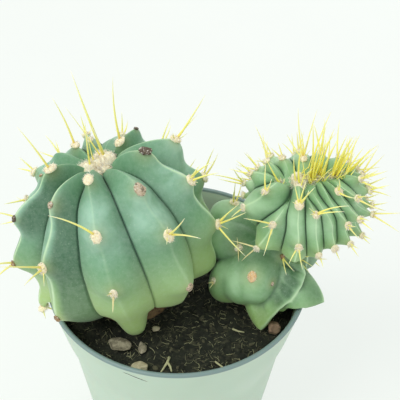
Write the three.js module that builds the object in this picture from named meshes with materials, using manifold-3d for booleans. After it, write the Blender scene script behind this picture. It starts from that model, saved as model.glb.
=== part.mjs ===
// Potted crested blue barrel cactus. Millimetres, +Z up, -Y is the front.
// The origin is the centre of the pot's underside, on the surface it stands on.
// Two heads grow from the soil: a ribbed barrel, and a swollen base that carries a crested cap.

import * as THREE from 'three';
import { mergeVertices } from 'three/addons/utils/BufferGeometryUtils.js';
import Module from 'manifold-3d';

const wasm = await Module();
wasm.setup();

// Pot: a 10.5 cm nursery pot
const POT_HEIGHT = 95;
const POT_RIM_RADIUS = 52.5;
const POT_COLLAR_DEPTH = 20;
const POT_COLLAR_RADIUS = 48.5;
const POT_WAIST_DEPTH = 32;
const POT_WAIST_RADIUS = 45.3;
const POT_BASE_RADIUS = 37.5;
const POT_WALL = 1.9;
const POT_FLOOR = 2.5;
const POT_EDGE = 0.8;
const POT_SIDES = 44;
const DRAIN_HOLES = 6;
const DRAIN_RADIUS = 4;
const DRAIN_CIRCLE = 25;

// Soil, and how the heads stand in it
const GAP = 0.3;
const SOIL_TOP = 84.7;
const REST_HEIGHT = SOIL_TOP + GAP;
const ROOT_DEPTH = 14;
const ROOT_SIDES = 16;
const TOUCH_GAP = 0.45;
const RIM_SWELL = [43.5, 48.5];
const RIM_PAST = [53.2, 55.5];
const RIM_DROOP = 9;
const FLOOR_SOFT = 0.8;

// Spines and the pads they grow from
const SPINE_SIDES = 3;
const SPINE_SUNK = 1.6;
const SPINE_BEND = 0.06;
const SPINE_BOWED = 14;
const PAD_SUNK = 0.3;

// Faces flatter than this are joined
const FACET = 0.06;

// Spines spread evenly round a pad: each is [out of the rib, down the rib, across it]
function fan(count, length, first = 90) {
  const spines = [];
  for (let i = 0; i < count; i += 1) {
    const angle = THREE.MathUtils.degToRad(first + (360 * i) / count);
    spines.push([length * 0.82, -length * 0.4 * Math.sin(angle), length * 0.42 * Math.cos(angle)]);
  }
  return spines;
}

function pad(down, spines = [], swell = 1) {
  return { down, spines, swell, wide: 0.55, steep: 2, bare: false };
}

// A swelling with no pad on it, or a hollow where it is below zero
function bump(down, swell, wide = 0.55, steep = 2) {
  return { down, spines: [], swell, wide, steep, bare: true };
}

// A rib: the direction it faces, its slant as it goes down, its height, and its pads. A route is
// its crest's own path, and a groove the path of the fold on its right, both as [down, direction].
// A floor is how high that fold lies, as a share of the ribs beside it.
function rib(turn, slant, rise, pads, more = {}) {
  return { turn, slant, rise, pads, high: null, low: null, route: null, groove: null, floor: null, ...more };
}

// A swelling of the base: where its tip points, how far out it is, and its half widths
function lobe(facing, down, reach, across, along, back = 0.55) {
  return { facing, down, reach, across, along, back };
}

// A fold of the base. Each point of its crest is [direction, down, reach, how fast its left side
// falls, how fast its right side does], the last two in millimetres a degree.
function ridge(points, roundOff) {
  return { points, roundOff };
}

function basePad(facing, down, spines = []) {
  return { facing, down, spines };
}

// Directions are in degrees: 0 faces the front, 90 faces +X. "down" is measured from the crown.
const BARREL = {
  centre: [-23.9, -1.7, 118.8],
  lean: [-8.4, 1.4],
  turn: 0,
  wide: 26.8,
  deep: 26.8,
  top: 32.4,
  low: 39.1,
  line: 0,
  dip: 3,
  dipSpread: 16,
  end: 150,
  ribHeight: 9.6,
  rises: [4, 36],
  falls: [112, 148],
  arch: [1.1, 0.8],
  floor: 0.55,
  swell: 3.8,
  swellSpread: [12, 7],
  padSize: [2.4, 1.9, 1.1],
  spineRadius: 0.55,
  rows: 19,
  columns: [-1, -0.62, -0.25, 0, 0.25, 0.62],
  ribs: [
    rib(-90, -20, 0.85, [pad(38, [], 0.9), pad(62, [[7, 2, 5]], 0), pad(85, fan(2, 12))], { high: [4, 80] }),
    rib(-57, -7, 1, [
      pad(27, [[20, 4, -2]]),
      pad(56, [], 1.3),
      pad(84, fan(2, 11), 1.15),
      bump(107, -0.6, 0.9),
      pad(120, fan(2, 7), 1.3),
    ]),
    rib(-30, -3, 1, [pad(41), pad(72, [[17, -9, -3], [10, 1, 1]]), pad(105)], { floor: 0.66 }),
    rib(4, 6, 1, [
      pad(28),
      pad(54, [[11, -12, -11]]),
      pad(83, [[5, -4, -1], [6, 3, -1]]),
      bump(130, 2.2, 0.62, 3),
    ], { low: [100, 138], floor: 0.76 }),
    rib(42, 6, 1, [pad(40), pad(65, [[14, -9, 1], [12, 2, 4]]), pad(98)]),
    rib(79, 7, 1, [
      pad(29),
      pad(55, [[12, -3, 1], [12, 1, -1], [7, -4, 1]]),
      pad(87, [[12, -9, -2], [9, -9, 2], [11, 5, -11]]),
      bump(117, 1, 0.8),
    ]),
    rib(108, 0, 0.85, [
      pad(44, [[20, 1.5, 0], [10, 5, 4]]),
      bump(51, 0.7, 0.6),
      pad(74, [[8, -9, 2], [9, -2, 7]]),
      bump(104, 1),
    ]),
    rib(137, 0, 0.5, [pad(20, [[22, 14, -1]], 0.3), pad(31, [], 1.3), pad(58, fan(3, 13), 0.6), pad(90, fan(3, 12))],
      { route: [[12, 128], [22, 129], [32, 137.5], [60, 137], [120, 137]] }),
    rib(170, 0, 0.35, [pad(52, fan(2, 10)), pad(80, fan(3, 12)), pad(110, fan(2, 9))]),
    rib(199, 0, 0.42, [pad(21, [], 0.8), pad(46, fan(2, 9)), pad(74, fan(3, 12)), pad(104, fan(2, 9))]),
    rib(222, -4, 0.42, [pad(25, [[20, 2, 1]], 0.5), pad(62, fan(3, 12)), pad(95, fan(2, 11))]),
    rib(249, -4, 0.5, [bump(28, 0.6), pad(56, fan(2, 9)), pad(88, fan(2, 11))]),
  ],
};

// The base that carries the crest: swellings that press into each other, and three sharper folds
const BASE = {
  centre: [36, 2, 103.5],
  soft: 2.4,
  start: 6,
  end: 150,
  rows: 21,
  columns: 40,
  turn: -5,
  padSize: [2.2, 1.7, 0.9],
  spineRadius: 0.45,
  lobes: [
    lobe(0, 90, 13, 11, 14),
    lobe(-21, 96, 24, 9.5, 11.5),
    lobe(-40, 104, 25, 11, 11),
    lobe(-60, 114, 28, 9, 11, 0.52),
    lobe(-97, 76, 26, 9.5, 9),
    lobe(-131, 74, 30, 10, 9),
    lobe(20, 118, 24, 8, 9),
    lobe(72, 84, 16.2, 6, 13),
    lobe(100, 90, 22, 7, 12),
    lobe(140, 92, 24, 7.5, 12),
    lobe(185, 90, 24, 8, 12),
    lobe(230, 92, 25, 8, 12),
  ],
  ridges: [
    ridge([
      [52, 60, 14.5, 0.3, 0.5],
      [45, 70, 18.6, 0.34, 0.6],
      [43, 80, 20.2, 0.36, 0.7],
      [32, 87, 22.2, 0.4, 0.75],
      [21, 97, 23.2, 0.42, 0.7],
      [9, 106, 24.6, 0.5, 0.6],
      [1, 115, 27.1, 0.55, 0.5],
      [-6, 121, 30.8, 0.5, 0.45],
    ], 2),
    ridge([
      [70, 74, 15.6, 0.5, 0.5],
      [64, 87, 16.2, 0.6, 0.6],
      [54, 96, 19.4, 0.8, 0.75],
      [47, 101, 29.4, 0.9, 0.9],
    ], 3),
    ridge([
      [47, 102, 29.2, 0.85, 0.9],
      [40, 104, 28.4, 0.7, 0.6],
      [31, 105.5, 27.2, 0.45, 0.6],
      [23, 107, 26, 0.36, 0.6],
      [16, 109, 24, 0.4, 0.6],
    ], 3),
  ],
  pads: [
    basePad(-21, 72.5),
    basePad(2, 82),
    basePad(-59, 97, [[4, 1, 3]]),
    basePad(-64, 58, [[3, 3, 4]]),
    basePad(54, 64, [[5, 6, 1]]),
    basePad(23, 52, [[4, 6, -1]]),
    basePad(-137, 57, [[9, -3, 4], [8, 2, -5]]),
    basePad(100, 80, fan(2, 9)),
    basePad(140, 76, fan(2, 9)),
    basePad(142, 104),
    basePad(185, 82, fan(2, 9)),
    basePad(230, 84, fan(2, 9)),
    basePad(100, 108, fan(2, 6)),
  ],
};

// The crested cap: its growing point is a line, so its ribs leave that line on both sides
const CAP = {
  centre: [48.8, 3, 128],
  lean: [-5, -14],
  turn: 6,
  wide: 17,
  deep: 16,
  top: 19,
  low: 15.5,
  line: 11.3,
  dip: 1,
  dipSpread: 12,
  end: 140,
  ribHeight: 5.4,
  rises: [4, 28],
  falls: [92, 118],
  arch: [1.8, 0.75],
  floor: 0.74,
  swell: 2.8,
  swellSpread: [9, 6],
  padSize: [1.7, 1.4, 0.9],
  spineRadius: 0.45,
  rows: 13,
  columns: [-1, -0.6, 0, 0.6],
  ribs: [
    rib(-107, -8, 0.9, [pad(34, fan(2, 9)), pad(62, [[10, 0, 1], [13, -4, 2]]), pad(92)],
      { groove: [[20, -84], [60, -95], [100, -102]] }),
    rib(-80, 0, 1.3, [pad(24, [[7, -4, 2]]), pad(60, [], 0.6)], {
      low: [76, 108],
      route: [[22, -62], [40, -70], [55, -78], [75, -81], [100, -86]],
      groove: [[20, -31], [30, -33], [36, -38], [47, -48.5], [53, -53], [66, -61], [80, -68], [110, -74]],
    }),
    rib(-43, 0, 1.1, [pad(52, [[8, -1, -9], [6, 9, 4]], 1.2), pad(90, [[4, 2, -9], [5, 9, -2]], 1.3)], {
      high: [30, 48],
      route: [[20, -31.5], [30, -32.5], [37, -35], [52, -41], [70, -47], [90, -52.5], [120, -56]],
      groove: [[20, -30.5], [33, -31.5], [42, -32.5], [60, -30], [72, -31.5], [90, -34], [120, -37]],
    }),
    rib(-19, 0, 1.1, [pad(33, [[5, -9, 2], [7, -7, 5]]), pad(70, [[5, 6, 2]]), bump(92, 0.8)], {
      low: [98, 126],
      route: [[20, -19], [33, -17.5], [50, -18.5], [70, -15], [87, -18], [110, -20]],
      groove: [[20, -10], [32, -10.5], [51, -10.5], [72, -9.3], [90, -8]],
    }),
    rib(0, 0, 1, [pad(42, [[9, -2, 11], [7, 0, 9]]), pad(81, [[3, 4, 1]])], {
      high: [20, 40],
      route: [[20, -8], [30, -7.5], [42, 1.5], [60, 0], [81, 1.7]],
      groove: [[20, -6], [30, -5], [41, 7], [54, 7.8], [74, 8.6], [90, 9]],
    }),
    rib(16, 0, 1, [bump(56, 0.5), pad(77)], {
      high: [14, 36],
      low: [80, 106],
      route: [[20, 1], [32, 5], [49, 16], [64, 16.5], [83, 15]],
      groove: [[20, 10], [32, 12.7], [49, 24.2], [64, 23.5], [90, 22]],
    }),
    rib(29, 0, 1.1, [pad(56, fan(2, 7), 1.25), pad(78, fan(2, 6))], {
      low: [80, 106],
      route: [[20, 16], [32, 19], [49, 28], [59, 29], [80, 29.5]],
      groove: [[20, 22], [30, 25], [50, 35], [65, 36], [90, 37]],
    }),
    rib(43, 0, 1, [pad(27, fan(2, 11), 1.2), pad(57, fan(2, 7), 1.35), pad(81)], {
      low: [80, 106],
      route: [[20, 28], [27, 30.5], [38, 39], [61, 42.7], [90, 45.5]],
      groove: [[20, 34], [30, 40], [50, 49], [70, 53], [90, 55]],
    }),
    rib(60, 0, 0.9, [pad(38, fan(2, 10), 1.4), pad(70, [[10, -2, 3], [11, 2, -3]], 1.35)], {
      low: [84, 112],
      route: [[20, 42], [38, 49], [60, 58], [72, 63], [90, 66]],
    }),
    rib(78, 0, 0.7, [pad(30, fan(2, 11), 0.6), pad(54, fan(2, 9), 1.1), pad(80, fan(2, 7), 1.2)],
      { low: [84, 112] }),
    rib(94, 0, 0.6, [pad(44, [[9, -4, 7], [6, 1, -1]], 0.7), pad(70, fan(2, 9)), pad(94)],
      { low: [98, 130] }),
    rib(112, 0, 0.45, [pad(32, [[8, -2, 6]], 0.5), pad(60, fan(2, 10)), pad(88)]),
    rib(133, 0, 0.45, [pad(44, [[13, 0, 6]], 0.4), pad(76, fan(2, 11))]),
    rib(157, 0, 0.5, [pad(34, [[13, 0, 0]], 0.4), pad(64, fan(2, 11)), pad(92)]),
    rib(183, 0, 0.55, [pad(22, [[14, 12, 0], [12, 12, -7]], 0.4), pad(52, [], 0.4), pad(80, fan(2, 10))]),
    rib(212, 0, 0.6, [pad(28, [[6, 0, 0]], 0.5), pad(60, fan(2, 8)), pad(92)]),
    rib(234, 0, 0.75, [pad(30, [[13, 0, -4], [9, 0, -5]], 0.7), pad(56, fan(2, 9), 0.6), pad(84)]),
  ],
};

// Tufts on the crest's growing line: the share along it, and the spines as [right, back, up] in
// the cap's own directions
const CREST_TUFTS = [
  { share: -0.95, spines: [[-5, 4, 12]] },
  { share: -0.36, spines: [[1, 4, 22]] },
  { share: 0.1, spines: [[0, 3, 13], [7, 7, 29], [1, 6, 26], [4, 5, 22]] },
  { share: 0.42, spines: [[3, 5, 19], [5, 5, 21]] },
  { share: 0.8, spines: [[5, 4, 16], [8, 4, 19]] },
  { share: 1.12, spines: [[3, 3, 11], [12, 3, 14]] },
];

// The long spines of the barrel's crown: each foot and its direction, as [right, back, up]
const CROWN_SPINES = [
  { foot: [2.8, 1, 1.5], aim: [-5, 3, 37] },
  { foot: [-2.7, -2, 1], aim: [2, 2, 20] },
  { foot: [1.5, 2, 1.5], aim: [-9, 2, 23] },
];

// Where each head goes down into the soil
const BARREL_FOOT = { x: -19, y: -2.5, radius: 18.5, top: 13, height: 11, root: 10 };
const BASE_FOOT = { x: 36, y: 1, radius: 14.5, top: 12, height: 8, root: 9 };

const BARREL_WOOL = { size: [6.5, 5.5, 2.6], lift: 29.5 };
const CREST_WOOL = { size: [11.5, 2.6, 1.9], lift: 17.3 };

// Loose pieces on the soil: place, half sizes and turn
const LOOSE = [
  { name: 'bark_chip_1', x: -21.5, y: -31.5, half: [5.2, 3.1, 1.3], turn: -8, color: '#b9a083' },
  { name: 'bark_chip_2', x: -12.2, y: -33.0, half: [1.8, 2.9, 1.1], turn: 12, color: '#a58d72' },
  { name: 'pebble_1', x: -12.6, y: -42.3, half: [3.4, 2.5, 1.9], turn: 5, color: '#c9b79a' },
  { name: 'pebble_2', x: -7.6, y: -23.5, half: [1.6, 1.4, 1.2], turn: 30, color: '#cbbfa8' },
  { name: 'pebble_3', x: 38.6, y: -21.9, half: [2.7, 3.0, 2.5], turn: -20, color: '#b98a6b' },
];

const COLORS = {
  pot: '#b9cdbc',
  soil: '#2c241d',
  barrel: '#78a58c',
  crest: '#7fae8d',
};

// Small helpers

function smoothStep(from, to, value) {
  const t = THREE.MathUtils.clamp((value - from) / (to - from), 0, 1);
  return t * t * (3 - 2 * t);
}

// The geometry's own points and faces, joined at shared corners, as a solid
function solidOf(geometry) {
  const plain = geometry.clone();
  for (const name of Object.keys(plain.attributes)) {
    if (name !== 'position') plain.deleteAttribute(name);
  }
  const joined = mergeVertices(plain, 1e-4);
  const corners = joined.index.array;
  const faces = [];
  for (let i = 0; i < corners.length; i += 3) {
    const [a, b, c] = [corners[i], corners[i + 1], corners[i + 2]];
    if (a !== b && b !== c && c !== a) faces.push(a, b, c);
  }
  return new wasm.Manifold(new wasm.Mesh({
    numProp: 3,
    vertProperties: new Float32Array(joined.attributes.position.array),
    triVerts: new Uint32Array(faces),
  }));
}

function geometryOf(solid) {
  const mesh = solid.getMesh();
  const geometry = new THREE.BufferGeometry();
  geometry.setAttribute('position', new THREE.BufferAttribute(new Float32Array(mesh.vertProperties), 3));
  geometry.setIndex(new THREE.BufferAttribute(new Uint32Array(mesh.triVerts), 1));
  geometry.computeVertexNormals();
  return geometry;
}

// A solid turned round +Z from its outline of [radius, height] points, from axis to axis
function turned(outline, sides) {
  const points = outline.map(([radius, height]) => new THREE.Vector2(radius, height));
  const geometry = new THREE.LatheGeometry(points, sides);
  geometry.rotateX(Math.PI / 2);
  return solidOf(geometry);
}

function cylinder(x, y, bottom, height, lowRadius, highRadius, sides) {
  const geometry = new THREE.CylinderGeometry(highRadius, lowRadius, height, sides);
  geometry.rotateX(Math.PI / 2);
  geometry.translate(x, y, bottom + height / 2);
  return solidOf(geometry);
}

// The ribbed heads

function headAxes(head) {
  const [leanX, leanY] = head.lean.map(THREE.MathUtils.degToRad);
  const turn = THREE.MathUtils.degToRad(head.turn);
  const up = new THREE.Vector3(Math.tan(leanX), Math.tan(leanY), 1).normalize();
  const right = new THREE.Vector3(Math.cos(turn), Math.sin(turn), 0);
  right.addScaledVector(up, -right.dot(up)).normalize();
  const back = new THREE.Vector3().crossVectors(up, right);
  return { up, right, back };
}

// The rounded body under the ribs. Its crown is a point, or a line in a crest.
function corePoint(head, facing, down) {
  const turn = THREE.MathUtils.degToRad(facing);
  const tilt = THREE.MathUtils.degToRad(down);
  const wide = head.line + (head.wide - head.line) * Math.sin(tilt);
  const deep = head.deep * Math.sin(tilt);
  const tall = down < 90 ? head.top : head.low;
  const dip = head.dip * Math.exp(-((down / head.dipSpread) ** 2));
  return new THREE.Vector3(wide * Math.sin(turn), -deep * Math.cos(turn), tall * Math.cos(tilt) - dip);
}

function coreNormal(head, facing, down) {
  const step = 0.5;
  const around = corePoint(head, facing + step, down).sub(corePoint(head, facing - step, down));
  const below = corePoint(head, facing, down + step);
  below.sub(corePoint(head, facing, Math.max(down - step, 0.01)));
  return below.cross(around).normalize();
}

function neighbour(head, index, side) {
  const count = head.ribs.length;
  const wrapped = (index + side + count) % count;
  const laps = (index + side - wrapped) / count;
  return { rib: head.ribs[wrapped], laps };
}

// A path's direction at a place down it, with its corners rounded
function eased(route, down) {
  const shifts = [-6, -3, 0, 3, 6];
  const at = (place) => {
    if (place <= route[0][0]) return route[0][1];
    for (let i = 1; i < route.length; i += 1) {
      const [[low, from], [high, to]] = [route[i - 1], route[i]];
      if (place <= high) return THREE.MathUtils.mapLinear(place, low, high, from, to);
    }
    return route[route.length - 1][1];
  };
  return shifts.reduce((sum, shift) => sum + at(down + shift), 0) / shifts.length;
}

function crestFacing(ribItem, down) {
  if (ribItem.route) return eased(ribItem.route, down);
  return ribItem.turn + (ribItem.slant * (down - 60)) / 60;
}

// The direction of the fold on a rib's right, or on its left where side is -1
function grooveFacing(head, index, side, down) {
  if (side < 0) {
    const before = neighbour(head, index, -1);
    const place = head.ribs.indexOf(before.rib);
    return grooveFacing(head, place, 1, down) + 360 * before.laps;
  }
  const own = head.ribs[index];
  if (own.groove) return eased(own.groove, down);
  const next = neighbour(head, index, 1);
  return (crestFacing(own, down) + crestFacing(next.rib, down) + 360 * next.laps) / 2;
}

// across runs from -1 in the groove on the left, over the crest at 0, to 1 in the groove on the right
function facingAt(head, index, across, down) {
  const own = crestFacing(head.ribs[index], down);
  const groove = grooveFacing(head, index, across < 0 ? -1 : 1, down);
  return own + Math.abs(across) * (groove - own);
}

function ribRise(head, ribItem, down) {
  const rises = ribItem.high || head.rises;
  const falls = ribItem.low || head.falls;
  const fade = smoothStep(rises[0], rises[1], down) * (1 - smoothStep(falls[0], falls[1], down));
  return head.ribHeight * ribItem.rise * fade;
}

// How far the skin stands out of the core: the rib's arch over the height at which it meets its
// neighbour, and a swelling under each pad
function skinHeight(head, index, across, down) {
  const own = head.ribs[index];
  const other = neighbour(head, index, across < 0 ? -1 : 1).rib;
  const crest = ribRise(head, own, down);
  const joined = crest + ((ribRise(head, other, down) - crest) / 2) * across ** 2;
  const fold = across < 0 ? other : own;
  const floor = (fold.floor || head.floor) * smoothStep(12, 44, down) * (1 - smoothStep(108, 140, down));
  const arched = Math.max(1 - Math.abs(across) ** head.arch[0], 0) ** head.arch[1];
  let height = joined * floor + crest * (1 - floor) * arched;
  for (const item of own.pads) {
    const spread = down < item.down ? head.swellSpread[0] : head.swellSpread[1];
    const away = (down - item.down) / spread;
    const beside = Math.abs(across / item.wide) ** item.steep;
    height += head.swell * item.swell * Math.exp(-(away ** 2) - beside);
  }
  return height;
}

// Only a head's root is below the soil's surface. What overhangs the pot swells over its rim.
function keptUp(point) {
  const reach = Math.hypot(point.x, point.y);
  const rimTop = POT_HEIGHT + TOUCH_GAP;
  const rise = (rimTop - REST_HEIGHT) * smoothStep(...RIM_SWELL, reach);
  const floor = REST_HEIGHT + rise - RIM_DROOP * smoothStep(...RIM_PAST, reach);
  return floor + FLOOR_SOFT * Math.log1p(Math.exp((point.z - floor) / FLOOR_SOFT));
}

function skinPoint(head, index, across, down, grow = 0) {
  const facing = facingAt(head, index, across, down);
  const point = corePoint(head, facing, down);
  point.addScaledVector(coreNormal(head, facing, down), skinHeight(head, index, across, down) + grow);
  const { up, right, back } = head.axes;
  const placed = new THREE.Vector3(...head.centre);
  placed.addScaledVector(right, point.x).addScaledVector(back, point.y).addScaledVector(up, point.z);
  placed.z = keptUp(placed);
  return placed;
}

// Rows of points from the crown down, closed at both ends
function closedBody(rows) {
  const columns = rows[0].length;
  const positions = [];
  const faces = [];
  const middle = (row) => {
    const sum = new THREE.Vector3();
    row.forEach((point) => sum.add(point));
    return sum.divideScalar(row.length);
  };
  rows.flat().forEach((point) => positions.push(...point));
  positions.push(...middle(rows[0]), ...middle(rows[rows.length - 1]));
  const crown = rows.length * columns;
  const last = crown - columns;
  for (let column = 0; column < columns; column += 1) {
    const beside = (column + 1) % columns;
    faces.push(crown, column, beside);
    for (let first = 0; first < last; first += columns) {
      const [a, b] = [first + column, first + beside];
      const [c, d] = [a + columns, b + columns];
      faces.push(a, c, b, b, c, d);
    }
    faces.push(crown + 1, last + beside, last + column);
  }
  const geometry = new THREE.BufferGeometry();
  geometry.setAttribute('position', new THREE.Float32BufferAttribute(positions, 3));
  geometry.setIndex(faces);
  return solidOf(geometry);
}

function ribbedBody(head, grow = 0) {
  const first = 3;
  const rows = [];
  for (let row = 0; row <= head.rows; row += 1) {
    const down = first + ((head.end - first) * row) / head.rows;
    rows.push(head.ribs.flatMap((item, index) => (
      head.columns.map((across) => skinPoint(head, index, across, down, grow)))));
  }
  return closedBody(rows);
}

// The base of the crested head

function rayTo(facing, down) {
  const turn = THREE.MathUtils.degToRad(facing);
  const tilt = THREE.MathUtils.degToRad(down);
  return new THREE.Vector3(Math.sin(tilt) * Math.sin(turn), -Math.sin(tilt) * Math.cos(turn), Math.cos(tilt));
}

// How far out a lobe's skin is along a ray, or nothing where the ray misses it
function lobeReach(item, ray) {
  const out = rayTo(item.facing, item.down);
  const turn = THREE.MathUtils.degToRad(item.facing);
  const level = new THREE.Vector3(Math.cos(turn), Math.sin(turn), 0);
  const below = new THREE.Vector3().crossVectors(level, out);
  const half = item.reach * item.back;
  const scaled = new THREE.Vector3(ray.dot(out), ray.dot(level), ray.dot(below));
  scaled.divide(new THREE.Vector3(half, item.across, item.along));
  const middle = new THREE.Vector3((item.reach - half) / half, 0, 0);
  const square = scaled.lengthSq();
  const near = scaled.dot(middle);
  const inside = near ** 2 - square * (middle.lengthSq() - 1);
  return inside > 0 ? (near + Math.sqrt(inside)) / square : -Infinity;
}

// How far out a fold's skin is: highest along its crest, and falling evenly to both sides
function ridgeReach(item, ray) {
  let nearest = Infinity;
  let reach = -Infinity;
  for (let i = 1; i < item.points.length; i += 1) {
    const [low, high] = [item.points[i - 1], item.points[i]];
    const first = rayTo(low[0], low[1]);
    const along = rayTo(high[0], high[1]).sub(first);
    const share = THREE.MathUtils.clamp(ray.clone().sub(first).dot(along) / along.lengthSq(), 0, 1);
    const spot = first.clone().addScaledVector(along, share).normalize();
    const apart = THREE.MathUtils.radToDeg(spot.angleTo(ray));
    if (apart < nearest) {
      nearest = apart;
      const [top, left, right] = [2, 3, 4].map((k) => THREE.MathUtils.lerp(low[k], high[k], share));
      const slope = ray.dot(new THREE.Vector3().crossVectors(first, along)) < 0 ? left : right;
      reach = top - slope * (Math.hypot(apart, item.roundOff) - item.roundOff);
    }
  }
  return reach;
}

function basePoint(base, facing, down) {
  const ray = rayTo(facing, down);
  const reaches = base.lobes.map((item) => lobeReach(item, ray));
  base.ridges.forEach((item) => reaches.push(ridgeReach(item, ray)));
  const most = Math.max(...reaches);
  const sum = reaches.reduce((total, reach) => total + Math.exp(base.soft * (reach - most)), 0);
  const point = new THREE.Vector3(...base.centre).addScaledVector(ray, most + Math.log(sum) / base.soft);
  point.z = keptUp(point);
  return point;
}

function lobedBody(base) {
  const rows = [];
  for (let row = 0; row <= base.rows; row += 1) {
    const down = base.start + ((base.end - base.start) * row) / base.rows;
    const points = [];
    for (let column = 0; column < base.columns; column += 1) {
      points.push(basePoint(base, base.turn + (360 * column) / base.columns, down));
    }
    rows.push(points);
  }
  return closedBody(rows);
}

// The place and directions of something on a skin, from its point and its neighbours below and beside
function frameOf(at, below, beside) {
  const out = new THREE.Vector3().crossVectors(below, beside).normalize();
  const side = new THREE.Vector3().crossVectors(out, below).normalize();
  return { at, out, below, side };
}

function padFrame(head, index, down) {
  const below = skinPoint(head, index, 0, down + 1).sub(skinPoint(head, index, 0, down - 1)).normalize();
  const beside = skinPoint(head, index, 0.04, down).sub(skinPoint(head, index, -0.04, down)).normalize();
  return frameOf(skinPoint(head, index, 0, down), below, beside);
}

function basePadFrame(base, facing, down) {
  const step = 1.5;
  const below = basePoint(base, facing, down + step).sub(basePoint(base, facing, down - step)).normalize();
  const beside = basePoint(base, facing + step, down).sub(basePoint(base, facing - step, down)).normalize();
  return frameOf(basePoint(base, facing, down), below, beside);
}

function lump(frame, size, sides = 5, rings = 3) {
  const geometry = new THREE.SphereGeometry(1, sides, rings);
  geometry.scale(size[0], size[1], size[2]);
  geometry.applyMatrix4(new THREE.Matrix4().makeBasis(frame.below, frame.side, frame.out));
  const place = frame.at.clone().addScaledVector(frame.out, -PAD_SUNK);
  geometry.translate(...place);
  return solidOf(geometry);
}

// One tapered spine from a root under the skin to its tip, bowed a little
function spine(root, tip, radius) {
  const along = tip.clone().sub(root);
  const length = along.length() + SPINE_SUNK;
  along.normalize();
  const geometry = new THREE.ConeGeometry(radius, length, SPINE_SIDES, length > SPINE_BOWED ? 2 : 1);
  geometry.translate(0, length / 2 - SPINE_SUNK, 0);
  const places = geometry.attributes.position;
  for (let i = 0; i < places.count; i += 1) {
    const far = THREE.MathUtils.clamp(places.getY(i) / length, 0, 1);
    places.setX(i, places.getX(i) + 4 * SPINE_BEND * length * far * (1 - far));
  }
  geometry.applyQuaternion(new THREE.Quaternion().setFromUnitVectors(new THREE.Vector3(0, 1, 0), along));
  geometry.translate(...root);
  return solidOf(geometry);
}

function dressed(form, frame, spines) {
  const pieces = [lump(frame, form.padSize)];
  spines.forEach(([out, below, side]) => {
    const tip = frame.at.clone().addScaledVector(frame.out, out);
    tip.addScaledVector(frame.below, below).addScaledVector(frame.side, side);
    pieces.push(spine(frame.at, tip, form.spineRadius));
  });
  return pieces;
}

function padsAndSpines(head) {
  return head.ribs.flatMap((item, index) => item.pads.filter((one) => !one.bare).flatMap(
    (one) => dressed(head, padFrame(head, index, one.down), one.spines)));
}

function basePadsAndSpines(base) {
  return base.pads.flatMap((one) => dressed(base, basePadFrame(base, one.facing, one.down), one.spines));
}

// Wool on the crown, at a height on the head's own axis
function crownFrame(head, along, lift) {
  const { up, right, back } = head.axes;
  const at = new THREE.Vector3(...head.centre).addScaledVector(right, along).addScaledVector(up, lift);
  return { at, out: up, below: right, side: back };
}

// Spines stand in tufts along the crest's growing line
function crestTufts(head) {
  return CREST_TUFTS.flatMap((tuft) => {
    const frame = crownFrame(head, tuft.share * head.line, CREST_WOOL.lift);
    return tuft.spines.map(([right, back, up]) => {
      const tip = frame.at.clone().addScaledVector(frame.out, up);
      tip.addScaledVector(frame.below, right).addScaledVector(frame.side, back);
      return spine(frame.at, tip, head.spineRadius);
    });
  });
}

// The long spines that stand in the barrel's woolly crown
function crownSpines(head) {
  const frame = crownFrame(head, 0, BARREL_WOOL.lift);
  const moved = (from, [right, back, up]) => {
    const point = from.clone().addScaledVector(frame.below, right);
    return point.addScaledVector(frame.side, back).addScaledVector(frame.out, up);
  };
  return CROWN_SPINES.map(({ foot, aim }) => {
    const root = moved(frame.at, foot);
    return spine(root, moved(root, aim), head.spineRadius);
  });
}

// The corky foot on the soil and the root below it
function footOf(foot) {
  const depth = ROOT_DEPTH + 3;
  const root = cylinder(foot.x, foot.y, SOIL_TOP - ROOT_DEPTH, depth, foot.root, foot.root, ROOT_SIDES);
  const cork = cylinder(foot.x, foot.y, REST_HEIGHT, foot.height, foot.radius, foot.top, 22);
  return root.add(cork);
}

// The ground round a root, which low spines and pads must not reach into
function groundRound(foot) {
  const [bottom, depth] = [SOIL_TOP - ROOT_DEPTH - 1, ROOT_DEPTH + 1 + GAP];
  const ground = cylinder(0, 0, bottom, depth, 2 * POT_RIM_RADIUS, 2 * POT_RIM_RADIUS, 12);
  return ground.subtract(cylinder(foot.x, foot.y, bottom - 1, depth + 2, foot.root, foot.root, ROOT_SIDES));
}

function rootHole(foot) {
  const bottom = SOIL_TOP - ROOT_DEPTH - GAP;
  const radius = (foot.root + GAP) / Math.cos(Math.PI / ROOT_SIDES);
  return cylinder(foot.x, foot.y, bottom, ROOT_DEPTH + 5, radius, radius, ROOT_SIDES);
}

// The pot and the soil

function outerRadius(height) {
  const waist = POT_HEIGHT - POT_WAIST_DEPTH;
  const collar = POT_HEIGHT - POT_COLLAR_DEPTH;
  if (height < waist) {
    return THREE.MathUtils.mapLinear(height, 0, waist, POT_BASE_RADIUS, POT_WAIST_RADIUS);
  }
  if (height < collar) {
    const share = smoothStep(waist - 8, collar + 8, height);
    const straight = THREE.MathUtils.mapLinear(height, waist, collar, POT_WAIST_RADIUS, POT_COLLAR_RADIUS);
    return straight + 0.3 * (share - 0.5);
  }
  return THREE.MathUtils.mapLinear(height, collar, POT_HEIGHT, POT_COLLAR_RADIUS, POT_RIM_RADIUS);
}

const WALL_HEIGHTS = [62, 67, 71, 76];

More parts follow.
